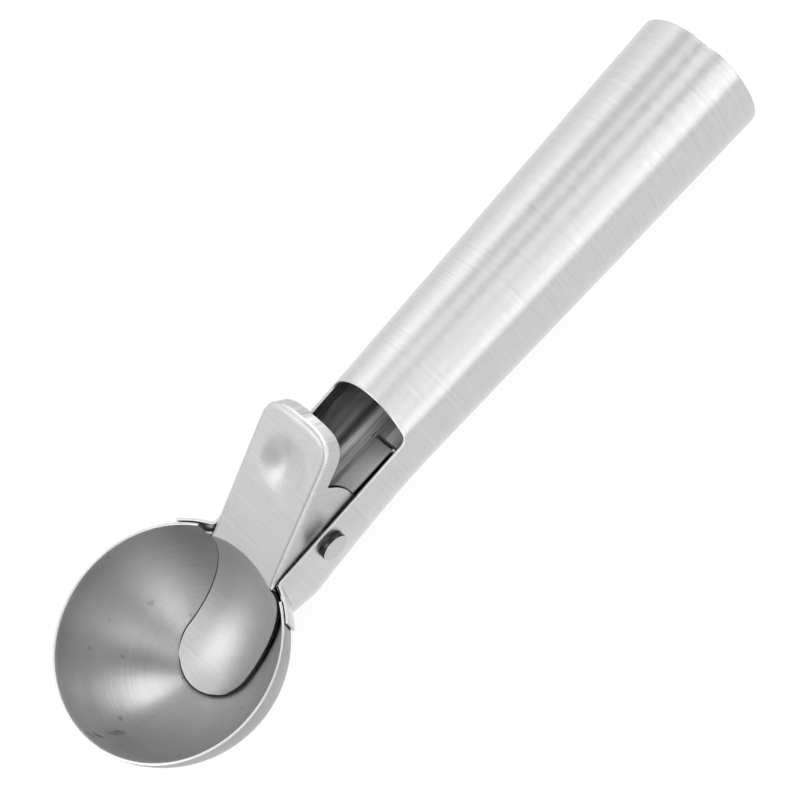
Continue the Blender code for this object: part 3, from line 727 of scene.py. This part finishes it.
def smooth_line(points, count):
    """Points at even steps along a Catmull-Rom curve through the given ones."""
    fine = []
    ends = [points[0] * 2 - points[1]] + points + [points[-1] * 2 - points[-2]]
    for a, b, c, d in zip(ends, ends[1:], ends[2:], ends[3:]):
        for t in shares(CURVE_STEPS)[:-1]:
            fine.append(0.5 * (2 * b + (c - a) * t + (2 * a - 5 * b + 4 * c - d) * t * t
                               + (3 * b - a - 3 * c + d) * t ** 3))
    fine.append(points[-1])
    reach = np.concatenate([[0.0], np.cumsum([(b - a).length for a, b in zip(fine, fine[1:])])])
    spots = np.linspace(0.0, reach[-1], count)
    xs = np.interp(spots, reach, [p.x for p in fine])
    zs = np.interp(spots, reach, [p.z for p in fine])
    return [Vector((x, 0.0, z)) for x, z in zip(xs, zs)]


def face_rows(shape, columns):
    flat_end = FLAT_SHARE * (DIMPLE_PLACE - DIMPLE_RADIUS)
    face_end = PAD_LENGTH - LEVER_BEND
    rows = []
    for share in shares(FLAT_ROWS):
        row = []
        for t in columns:
            across = FACE_HALF_WIDTH * t
            start = crease_place(across)
            row.append(shape.verts.new(face_point(start + (flat_end - start) * share, across)))
        rows.append(row)
    for share in shares(PAD_ROWS)[1:]:
        row = []
        for t in columns:
            across = FACE_HALF_WIDTH * t
            set_back = PAD_ROUND * share ** PAD_CORNER_ONSET * corner_set_back(t)
            along = flat_end + (face_end - flat_end) * share - set_back
            row.append(shape.verts.new(face_point(along, across, dimple_drop(along, across))))
        rows.append(row)
    for low, high in zip(rows, rows[1:]):
        quads_between(shape, low, high)
    return rows


def edge_chains(shape, rim):
    """From each point of the face's rim, a bend and then the skirt or an ear below it."""
    spots = [Vector(((v.co - FACE_ROOT).dot(FACE_ALONG), v.co.y)) for v in rim]
    ear_count = sum(1 for spot in spots if spot.x < EAR_TOP_PLACE and spot.y < 0) + 1
    ear = smooth_line(ear_edge(), ear_count)
    chains = []
    for i, vert in enumerate(rim):
        if abs(spots[i].y) > FACE_HALF_WIDTH - SIDE_MARGIN:
            outward = Vector((0.0, math.copysign(1.0, spots[i].y), 0.0))
        else:
            tangent = (spots[i + 1] - spots[i - 1]).normalized()
            outward = FACE_ALONG * tangent.y - Vector((0.0, tangent.x, 0.0))
        flat = vert.co + FACE_NORMAL * dimple_drop(*spots[i])
        chain = [vert]
        for turn in spaced(0.0, QUARTER, BEND_STEPS)[1:]:
            out = outward * LEVER_BEND * math.sin(turn)
            chain.append(shape.verts.new(flat + out - FACE_NORMAL * LEVER_BEND * (1.0 - math.cos(turn))))
        top = chain[-1].co.copy()
        place = min(i, len(rim) - 1 - i)
        if place < ear_count:
            low = Vector((ear[place].x, top.y, ear[place].z))
        else:
            low = top - FACE_NORMAL * (SKIRT_DEPTH - LEVER_BEND)
        for share in shares(EAR_STEPS)[1:]:
            chain.append(shape.verts.new(top.lerp(low, share)))
        chains.append(chain)
    for first, second in zip(chains, chains[1:]):
        quads_between(shape, first, second)
    return chains


def on_tongue(angle, y):
    """Point of the tongue's top at an angle down from the rim and a distance from the middle."""
    ring = math.sqrt(TONGUE_RADIUS ** 2 - y * y)
    return ring * math.cos(angle), y, -ring * math.sin(angle)


def round_tip(start, columns, rows):
    """Grid of (angle, y) over the tongue's round end: a patch between its start, sides and arc."""
    turn = LEVER_HALF_WIDTH / TONGUE_RADIUS
    centre = TONGUE_END - turn

    def on_arc(angle):
        return np.array([centre + turn * math.cos(angle), LEVER_HALF_WIDTH * math.sin(angle)])

    def on_side(v, side):
        reach = v * (centre - start + turn * math.pi / 4)
        if reach < centre - start:
            return np.array([start + reach, side * LEVER_HALF_WIDTH])
        return on_arc(side * (QUARTER - (reach - centre + start) / turn))

    grid = []
    for v in shares(rows)[1:]:
        row = []
        for s in shares(columns):
            near = np.array([start, LEVER_HALF_WIDTH * (2 * s - 1)])
            far = on_arc((2 * s - 1) * math.pi / 4)
            left, right = on_side(v, -1), on_side(v, 1)
            corners = (1 - v) * ((1 - s) * on_side(0.0, -1) + s * on_side(0.0, 1))
            corners = corners + v * ((1 - s) * on_side(1.0, -1) + s * on_side(1.0, 1))
            row.append((1 - v) * near + v * far + (1 - s) * left + s * right - corners)
        grid.append(row)
    return grid


def tongue_rows(shape, crease, across):
    """The tongue, from its places across the crease to columns at even steps and its round end."""
    starts = [math.atan2(-v.co.z, v.co.x) for v in crease]
    columns = len(across) - 1
    tip_start = TONGUE_END - TIP_REACH * LEVER_HALF_WIDTH / TONGUE_RADIUS
    above = crease
    for share in shares(TONGUE_ROWS)[1:]:
        row = []
        for i in range(columns + 1):
            even = LEVER_HALF_WIDTH * (2 * i / columns - 1)
            y = across[i] + (even - across[i]) * min(TONGUE_WIDENING * share, 1.0)
            row.append(shape.verts.new(on_tongue(starts[i] + (tip_start - starts[i]) * share, y)))
        quads_between(shape, above, row)
        above = row
    for spots in round_tip(tip_start, columns, TIP_ROWS):
        row = [shape.verts.new(on_tongue(angle, y)) for angle, y in spots]
        quads_between(shape, above, row)
        above = row


def make_lever(steel, edge):
    shape = bmesh.new()
    columns = [math.sin(turn) for turn in spaced(-QUARTER, QUARTER, FACE_COLUMNS)]
    face = face_rows(shape, columns)
    rim = [row[0] for row in face[1:]] + face[-1][1:-1] + [row[-1] for row in reversed(face[1:])]
    chains = edge_chains(shape, rim)
    bends = [FACE_HALF_WIDTH + LEVER_BEND * math.sin(turn)
             for turn in spaced(0.0, QUARTER, BEND_STEPS)[1:]]
    left = [shape.verts.new(face_point(crease_place(y), -y)) for y in reversed(bends)]
    right = [shape.verts.new(face_point(crease_place(y), y)) for y in bends]
    quads_between(shape, face[0][:1] + left[::-1], chains[0][:BEND_STEPS + 1])
    quads_between(shape, face[0][-1:] + right, chains[-1][:BEND_STEPS + 1])
    across = [-y for y in reversed(bends)] + [FACE_HALF_WIDTH * t for t in columns] + bends
    tongue_rows(shape, left + face[0] + right, across)
    bmesh.ops.recalc_face_normals(shape, faces=shape.faces)
    face_outward(shape, FACE_NORMAL)
    lever = object_of("lever_stamping", shape)
    # The second material, on the lever's rim and rounded edges, is nearly black: painted shade for the
    # dark line round the tongue and ears
    dress(lever, steel, edge)
    thicken(lever, LEVER_WALL, even=False, rim=1)
    round_edges(lever, LEVER_EDGE_ROUND, LEVER_EDGE_ANGLE, segments=3, material=1)
    holes = cross_pin("ear_hole_cutter", PIN_RADIUS + PIN_CLEARANCE, LEVER_HALF_WIDTH + LEVER_WALL)
    cut(lever, holes)
    apply_all(lever, (holes,))
    smooth(lever)
    map_grain(lever, across_the_lever)
    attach(lever, "lever")
    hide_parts("thumb_lever")


# Pin and spring

def half_width_at(x, height):
    radius = tube_radius(x)
    power = 2.0 + (WALL_SQUARENESS - 2.0) * channel_share(x)
    return radius * (1.0 - (abs(height) / radius) ** power) ** (1.0 / power)


def make_pin(steel, side):
    """Head, shank and peened end; the head's side has a material of its own, nearly black: painted shade.
    """
    heights = (0.0, PIN_CENTRE.z - AXIS_Z)
    seat = max(half_width_at(PIN_CENTRE.x, height) for height in heights) + PIN_SEAT_GAP
    head = seat + PIN_HEAD_HEIGHT
    profile = [(0.0, head), (PIN_FACE_RING, head)]
    for turn in spaced(0.0, QUARTER, PIN_EASE_STEPS):
        profile.append((PIN_HEAD_RADIUS - PIN_HEAD_EASE * (1.0 - math.sin(turn)),
                        head - PIN_HEAD_EASE * (1.0 - math.cos(turn))))
    profile += [(PIN_HEAD_RADIUS, seat), (PIN_RADIUS, seat), (PIN_RADIUS, -seat)]
    for turn in spaced(0.0, QUARTER, RIVET_STEPS)[:-1]:
        profile.append((RIVET_RADIUS * math.cos(turn), -seat - RIVET_HEIGHT * math.sin(turn)))
    profile.append((0.0, -seat - RIVET_HEIGHT))
    pin = lathe("pin_and_head", profile, PIN_SIDES, PIN_PLACE)
    dress(pin, steel, side)
    # Faces round the head's side take the nearly black material: painted shade
    for face in pin.data.polygons:
        spot = FROM_SCOOP @ face.center - PIN_CENTRE
        lean = abs((FROM_SCOOP.to_3x3() @ face.normal).y)
        if math.hypot(spot.x, spot.z) > PIN_SIDE_REACH and lean < PIN_SIDE_LEAN:
            face.material_index = 1
    smooth(pin)
    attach(pin, "handle")
    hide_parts("pivot_pin")


def heading_between(first, first_radius, second, second_radius):
    """Heading of the straight that leaves one bend and runs into the next, both clockwise."""
    span = second - first
    return math.atan2(span.y, span.x) - math.asin((first_radius - second_radius) / span.length)


def turned_strip(centre, radius, start, end, steps):
    """Stretch of a strip that turns clockwise round a centre between two headings."""
    return arc(centre, radius, start + QUARTER, end + QUARTER, steps)


def spring_line():
    """Hooked tail, leg on the channel's floor, bend behind the pin, curled tip under the pad."""
    bend_x = PIN_CENTRE.x + SPRING_BEND_REACH
    side = SPRING_ASIDE + SPRING_HALF_WIDTH
    floor = max(floor_height(x, side) for x in spaced(bend_x, SPRING_TAIL_X, SPRING_FLOOR_STEPS))
    level = floor + SEAT_GAP + SPRING_THICKNESS / 2
    tail = (SPRING_TAIL_X, floor_height(SPRING_TAIL_X, 0.0) - SPRING_TAIL_SINK)
    bend = Vector((bend_x, level + SPRING_BEND))
    tip_place = PAD_LENGTH - SPRING_TIP_SETBACK
    tip_drop = dimple_drop(tip_place, 0.0) + LEVER_WALL + SEAT_GAP + SPRING_THICKNESS / 2 + SPRING_CURL
    tip = face_point(tip_place, 0.0, tip_drop)
    hub = Vector((tip.x, tip.z))
    to_pad = heading_between(bend, SPRING_BEND, hub, SPRING_CURL)
    line = [tail]
    knee = (SPRING_TAIL_X - SPRING_KNEE, level - SPRING_KNEE)
    line += arc(knee, SPRING_KNEE, 0.0, QUARTER, SPRING_KNEE_STEPS)
    line += turned_strip(bend, SPRING_BEND, math.pi, to_pad, SPRING_BEND_STEPS)
    line += turned_strip(hub, SPRING_CURL, to_pad, to_pad - SPRING_CURL_TURN, SPRING_CURL_STEPS)
    return line


def make_spring(steel):
    shape = bmesh.new()
    line = spring_line()
    sides = []
    for across in spaced(-SPRING_HALF_WIDTH, SPRING_HALF_WIDTH, SPRING_COLUMNS):
        sides.append([shape.verts.new((x, SPRING_ASIDE + across, z)) for x, z in line])
    for first, second in zip(sides, sides[1:]):
        quads_between(shape, first, second)
    bmesh.ops.recalc_face_normals(shape, faces=shape.faces)
    spring = object_of("leaf_spring", shape)
    dress(spring, steel)
    thicken(spring, SPRING_THICKNESS)
    spring.modifiers["wall"].offset = 0.0
    round_edges(spring, STRIP_EDGE_ROUND)
    apply_all(spring)
    smooth(spring)
    map_grain(spring, round_the_axis)
    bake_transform(spring)
    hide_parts("return_spring")


# Materials

class Tree:
    """Short calls to add and link the nodes of a material or a world."""

    def __init__(self, tree):
        self.tree = tree

    def add(self, kind, **settings):
        node = self.tree.nodes.new(kind)
        for key, value in settings.items():
            setattr(node, key, value)
        return node

    def link(self, output, target):
        self.tree.links.new(output, target)

    def parts(self, vector):
        node = self.add("ShaderNodeSeparateXYZ")
        self.link(vector, node.inputs["Vector"])
        return node.outputs

    def math(self, operation, first, second=0.0):
        node = self.add("ShaderNodeMath", operation=operation)
        for socket, value in zip(node.inputs, (first, second)):
            if isinstance(value, float):
                socket.default_value = value
            else:
                self.link(value, socket)
        return node.outputs["Value"]

    def product(self, first, second):
        return self.math('MULTIPLY', first, second)

    def mapped(self, value, start, end, low, high, interpolation='LINEAR'):
        """Low up to the start, high from the end on."""
        node = self.add("ShaderNodeMapRange", interpolation_type=interpolation)
        for name, number in (("From Min", start), ("From Max", end), ("To Min", low), ("To Max", high)):
            node.inputs[name].default_value = number
        self.link(value, node.inputs["Value"])
        return node.outputs["Result"]

    def step(self, value, start, end, low=0.0, high=1.0):
        return self.mapped(value, start, end, low, high, 'SMOOTHSTEP')


class Nodes(Tree):
    """A material's node tree."""

    def __init__(self, name):
        self.material = bpy.data.materials.new(name)
        self.material.use_nodes = True
        super().__init__(self.material.node_tree)
        self.shader = self.tree.nodes["Principled BSDF"]

    def spread(self):
        return self.add("ShaderNodeUVMap", uv_map="grain").outputs["UV"]

    def place(self):
        return self.add("ShaderNodeTexCoord").outputs["Object"]

    def noise_node(self, vector, scale, detail, roughness, dimensions):
        node = self.add("ShaderNodeTexNoise", noise_dimensions=dimensions)
        for name, number in (("Scale", scale), ("Detail", detail), ("Roughness", roughness)):
            node.inputs[name].default_value = number
        self.link(vector, node.inputs["Vector"])
        return node

    def noise(self, scale, detail, roughness=0.55):
        return self.noise_node(self.place(), scale, detail, roughness, '3D').outputs["Fac"]

    def grain(self, across, along, detail, roughness):
        """Noise that changes fast across the scratches and slowly along them, per metre."""
        node = self.noise_node(self.place(), along, detail, roughness, '4D')
        self.link(self.product(self.parts(self.spread())["X"], across), node.inputs["W"])
        return node.outputs["Fac"]

    def lines(self, across, along, detail, roughness):
        """Noise that changes fast round the handle and slowly along it, per metre."""
        stretch = self.add("ShaderNodeVectorMath", operation='MULTIPLY')
        stretch.inputs[1].default_value = (along, across, 0.0)
        self.link(self.spread(), stretch.inputs[0])
        return self.noise_node(stretch.outputs["Vector"], 1.0, detail, roughness, '2D').outputs["Fac"]

    def around(self, noise, middle, spread, noise_low=0.25, noise_high=0.75):
        """The middle value, less and more by a share of itself as the noise goes."""
        return self.mapped(noise, noise_low, noise_high, middle * (1.0 - spread), middle * (1.0 + spread))

    def away(self, value, inner, outer):
        """Nought within the inner distance to either side of nought, one past the outer."""
        return self.step(self.math('ABSOLUTE', value), inner, outer)

    def grey(self, shade):
        combine = self.add("ShaderNodeCombineColor")
        for channel in ("Red", "Green", "Blue"):
            self.link(shade, combine.inputs[channel])
        self.link(combine.outputs["Color"], self.shader.inputs["Base Color"])

    def tint(self, tone, shade):
        """Grey of a shade, darker where the tone is below one."""
        self.grey(self.mapped(tone, 0.0, 1.0, 0.0, shade))

    def rough(self, noise, roughness, spread):
        self.link(self.around(noise, roughness, spread), self.shader.inputs["Roughness"])

    def bump(self, height, strength, distance):
        node = self.add("ShaderNodeBump")
        node.inputs["Strength"].default_value = strength
        node.inputs["Distance"].default_value = distance
        self.link(height, node.inputs["Height"])
        self.link(node.outputs["Normal"], self.shader.inputs["Normal"])

    def stretch_highlight(self, amount):
        """Spread the highlight across the scratches, along U."""
        self.shader.inputs["Anisotropic"].default_value = amount
        tangent = self.add("ShaderNodeTangent", direction_type='UV_MAP', uv_map="grain")
        self.link(tangent.outputs["Tangent"], self.shader.inputs["Tangent"])


def metal(name):
    nodes = Nodes(name)
    nodes.shader.inputs["Metallic"].default_value = 1.0
    nodes.shader.inputs["IOR"].default_value = STEEL_IOR
    return nodes


def brushed_steel(name, shade, roughness, stretch, across, along, scratch, contrast):
    """Sheet brushed one way: scratches, some of them broader, over faint clouds."""
    nodes = metal(name)
    fine = nodes.grain(across, along, detail=4.0, roughness=0.65)
    broad = nodes.grain(0.3 * across, 0.4 * along, detail=2.0, roughness=0.5)
    cloud = nodes.noise(scale=90.0, detail=2.0)
    tone = nodes.product(nodes.around(fine, 1.0, contrast), nodes.around(broad, 1.0, 0.4 * contrast))
    nodes.tint(nodes.product(tone, nodes.around(cloud, 1.0, 0.015)), shade)
    nodes.rough(fine, roughness, spread=0.15)
    nodes.bump(fine, scratch, distance=0.04 * MM)
    nodes.stretch_highlight(stretch)
    return nodes.material


def spun_steel(name, shade, roughness, stretch):
    """Sheet spun round an axis: faint rings and clouds, and a few dark flecks."""
    nodes = metal(name)
    fine = nodes.grain(across=1500.0, along=50.0, detail=3.0, roughness=0.6)
    broad = nodes.grain(across=420.0, along=25.0, detail=2.0, roughness=0.5)
    fleck = nodes.noise(scale=420.0, detail=0.0)
    cloud = nodes.noise(scale=70.0, detail=3.0)
    tone = nodes.product(nodes.around(fine, 1.0, 0.4), nodes.around(broad, 1.0, 0.25))
    tone = nodes.product(tone, nodes.mapped(fleck, start=0.78, end=0.84, low=1.0, high=0.7))
    nodes.tint(nodes.product(tone, nodes.around(cloud, 1.0, 0.1, 0.35, 0.65)), shade)
    nodes.rough(broad, roughness, spread=0.15)
    nodes.bump(fine, strength=0.2, distance=0.04 * MM)
    nodes.stretch_highlight(stretch)
    return nodes.material


def drawn_steel(name, shade, roughness, stretch):
    """Inside of the rolled sheet: die lines along the axis, smoother where they are bright."""
    nodes = metal(name)
    lines = nodes.lines(across=500.0, along=10.0, detail=3.0, roughness=0.6)
    nodes.tint(nodes.mapped(lines, start=0.3, end=0.7, low=0.45, high=1.25), shade)
    nodes.rough(lines, roughness, spread=-0.1)
    nodes.bump(lines, strength=0.15, distance=0.05 * MM)
    nodes.stretch_highlight(stretch)
    return nodes.material


def plain_steel(name, shade, roughness):
    """Steel without a grain: a fine even tooth."""
    nodes = metal(name)
    fine = nodes.noise(scale=2400.0, detail=3.0)
    nodes.grey(nodes.around(fine, shade, 0.06))
    nodes.rough(fine, roughness, spread=0.2)
    nodes.bump(fine, strength=0.08, distance=0.01 * MM)
    return nodes.material


# Studio

CAMERA_PLACE = Vector((-0.031366, -0.1606, 0.343806))
CAMERA_BACK = Vector((-0.0820, -0.4413, 0.8936))
CAMERA_UP = Vector((0.7458, 0.5676, 0.3487))
CAMERA_LENS = 76.97
SENSOR_WIDTH = 36.0
CLIP_START = 0.01
CLIP_END = 20.0
WHITE = (1.0, 1.0, 1.0, 1.0)

# Level of the tent's light, and the least that any direction keeps
TENT_LEVEL = 1.12
TENT_DARKEST = 0.03

# Long panels beside the handle: where each starts, is full, fades and ends, in degrees from
# overhead towards -Y, and by how much it changes the level
STRIPS = (
    (54.0, 64.0, 76.0, 82.0, 0.75),
    (80.0, 84.0, 86.0, 90.0, -0.4),
)

# Round panels: azimuth from +X towards +Y, elevation, inner and outer angle, all in degrees, and
# by how much each changes the level
PANELS = (
    (0.0, 37.0, 6.0, 19.0, 4.6),
    (140.0, 56.0, 8.0, 22.0, 1.4),
    (-120.0, 42.0, 4.0, 20.0, 1.5),
    (-42.0, 48.0, 5.0, 13.0, -1.1),
    (-64.0, 62.0, 5.0, 14.0, 0.3),
    (0.0, 65.0, 5.0, 12.0, -1.1),
    (-165.0, 25.0, 8.0, 20.0, -0.8),
    (174.0, 28.0, 6.0, 16.0, -0.9),
    (-37.0, 18.0, 6.0, 20.0, -0.5),
    (-85.0, 30.0, 6.0, 20.0, -0.4),
    (-138.0, 20.0, 4.0, 16.0, -0.4),
    (60.0, 56.0, 6.0, 18.0, -0.4),
    (150.0, 12.0, 8.0, 20.0, -0.3),
    (92.0, 25.0, 6.0, 18.0, 0.3),
    (82.0, 42.0, 6.0, 16.0, 0.5),
    (-60.0, 36.0, 5.0, 15.0, 0.8),
    (25.0, 6.0, 8.0, 20.0, 2.2),
)

# White paper, with a shadow painted into its colour under the handle; the pairs are where the painted
# shade is full and where it ends
FLOOR_SIZE = 6.0
FLOOR_GAP = 0.2 * MM
PAPER_TONE = 0.9
PAPER_ROUGHNESS = 0.9
PAPER_GLOW = 0.95
SHADE_PLACE = (16.0 * MM, 4.2 * MM)
SHADE_HALF_LENGTH = (40.0 * MM, 75.0 * MM)
SHADE_HALF_WIDTH = (3.0 * MM, 9.0 * MM)
PAINTED_SHADOW_TONE = 0.04


def make_camera():
    data = bpy.data.cameras.new("camera")
    data.lens = CAMERA_LENS
    data.sensor_width = SENSOR_WIDTH
    data.clip_start = CLIP_START
    data.clip_end = CLIP_END
    camera = bpy.data.objects.new("camera", data)
    bpy.context.scene.collection.objects.link(camera)
    back = CAMERA_BACK.normalized()
    right = CAMERA_UP.cross(back).normalized()
    up = back.cross(right)
    turn = Matrix((right, up, back)).transposed().to_4x4()
    camera.matrix_world = Matrix.Translation(CAMERA_PLACE) @ turn
    bpy.context.scene.camera = camera


class Sky(Tree):
    """A white tent seen by the metal: an even level with soft panels of more or less light."""

    def __init__(self, level):
        self.world = bpy.data.worlds.new("studio")
        self.world.use_nodes = True
        super().__init__(self.world.node_tree)
        self.direction = self.add("ShaderNodeTexCoord").outputs["Generated"]
        self.value = self.math('ADD', level, 0.0)

    def strip(self, start, full, fade, end, change):
        parts = self.parts(self.direction)
        angle = self.math('ARCTAN2', self.product(parts["Y"], -1.0), parts["Z"])
        rise = self.step(angle, math.radians(start), math.radians(full), 0.0, change)
        fall = self.step(angle, math.radians(fade), math.radians(end), 1.0, 0.0)
        self.value = self.math('ADD', self.value, self.product(rise, fall))

    def panel(self, azimuth, elevation, inner, outer, change):
        """Full strength within the inner angle from the panel's middle, none past the outer one."""
        turn, rise = math.radians(azimuth), math.radians(elevation)
        middle = (math.cos(rise) * math.cos(turn), math.cos(rise) * math.sin(turn), math.sin(rise))
        towards = self.add("ShaderNodeVectorMath", operation='DOT_PRODUCT')
        towards.inputs[1].default_value = middle
        self.link(self.direction, towards.inputs[0])
        far, near = math.cos(math.radians(outer)), math.cos(math.radians(inner))
        light = self.step(towards.outputs["Value"], far, near, 0.0, change)
        self.value = self.math('ADD', self.value, light)

    def finish(self):
        """White for the camera, the tent for everything else."""
        path = self.add("ShaderNodeLightPath")
        mix = self.add("ShaderNodeMix", data_type='FLOAT')
        mix.inputs["B"].default_value = 1.0
        self.link(path.outputs["Is Camera Ray"], mix.inputs["Factor"])
        self.link(self.math('MAXIMUM', self.value, TENT_DARKEST), mix.inputs["A"])
        background = self.tree.nodes["Background"]
        background.inputs["Color"].default_value = WHITE
        self.link(mix.outputs["Result"], background.inputs["Strength"])
        bpy.context.scene.world = self.world


def make_tent():
    sky = Sky(TENT_LEVEL)
    for strip in STRIPS:
        sky.strip(*strip)
    for panel in PANELS:
        sky.panel(*panel)
    sky.finish()


def make_floor():
    """White paper; it glows for the camera and in reflections, but under the handle its colour is painted
    dark as a shadow, and there it does not glow.
    """
    bpy.ops.mesh.primitive_plane_add(size=FLOOR_SIZE, location=(0.0, 0.0, -FLOOR_GAP))
    floor = bpy.context.object
    floor.name = "floor"
    nodes = Nodes("floor_paper")
    nodes.shader.inputs["Roughness"].default_value = PAPER_ROUGHNESS
    parts = nodes.parts(nodes.place())
    beyond = nodes.away(nodes.math('SUBTRACT', parts["X"], SHADE_PLACE[0]), *SHADE_HALF_LENGTH)
    beside = nodes.away(nodes.math('SUBTRACT', parts["Y"], SHADE_PLACE[1]), *SHADE_HALF_WIDTH)
    clear = nodes.math('MAXIMUM', beside, beyond)
    # Painted shadow: the paper's colour falls to the dark tone under the handle
    nodes.grey(nodes.mapped(clear, 0.0, 1.0, PAINTED_SHADOW_TONE, PAPER_TONE))
    path = nodes.add("ShaderNodeLightPath")
    seen = nodes.math('MAXIMUM', path.outputs["Is Camera Ray"], path.outputs["Is Glossy Ray"])
    seen = nodes.math('MAXIMUM', seen, path.outputs["Is Transmission Ray"])
    glow = nodes.add("ShaderNodeEmission")
    glow.inputs["Color"].default_value = WHITE
    mix = nodes.add("ShaderNodeMixShader")
    nodes.link(nodes.product(nodes.product(seen, clear), PAPER_GLOW), mix.inputs["Fac"])
    nodes.link(nodes.shader.outputs["BSDF"], mix.inputs[1])
    nodes.link(glow.outputs["Emission"], mix.inputs[2])
    nodes.link(mix.outputs["Shader"], nodes.tree.nodes["Material Output"].inputs["Surface"])
    dress(floor, nodes.material)


def make_studio():
    bpy.context.scene.view_settings.view_transform = 'Standard'
    make_camera()
    make_tent()
    make_floor()


handle_steel = brushed_steel("brushed_round_the_tube", shade=0.64, roughness=0.23, stretch=0.8,
                             across=1500.0, along=110.0, scratch=0.35, contrast=0.5)
lever_steel = brushed_steel("brushed_across_the_lever", shade=0.64, roughness=0.38, stretch=0.8,
                            across=1700.0, along=130.0, scratch=0.3, contrast=0.8)
spring_steel = brushed_steel("rolled_strip", shade=0.50, roughness=0.30, stretch=0.6,
                             across=2600.0, along=180.0, scratch=0.1, contrast=0.1)
inside_steel = drawn_steel("drawn_inside", shade=0.56, roughness=0.34, stretch=0.9)
bowl_steel = spun_steel("spun_steel", shade=0.44, roughness=0.34, stretch=0.95)
pin_steel = plain_steel("turned_pin", shade=0.54, roughness=0.24)
# Nearly black: painted shade on the side of the pin's head, not the colour of steel
painted_shade_pin_side_steel = plain_steel("pin_side_painted_shade", shade=0.05, roughness=0.2)
cut_steel = plain_steel("cut_edge", shade=0.60, roughness=0.42)
# Nearly black: painted shade on the lever's rim and rounded edges, not the colour of steel
painted_shade_edge_steel = plain_steel("lever_edge_painted_shade", shade=0.04, roughness=0.3)

make_bowl(bowl_steel, handle_steel)
make_handle(handle_steel, inside_steel, cut_steel)
make_end_cap(handle_steel)
make_lever(lever_steel, painted_shade_edge_steel)
make_pin(pin_steel, painted_shade_pin_side_steel)
make_spring(spring_steel)
make_studio()
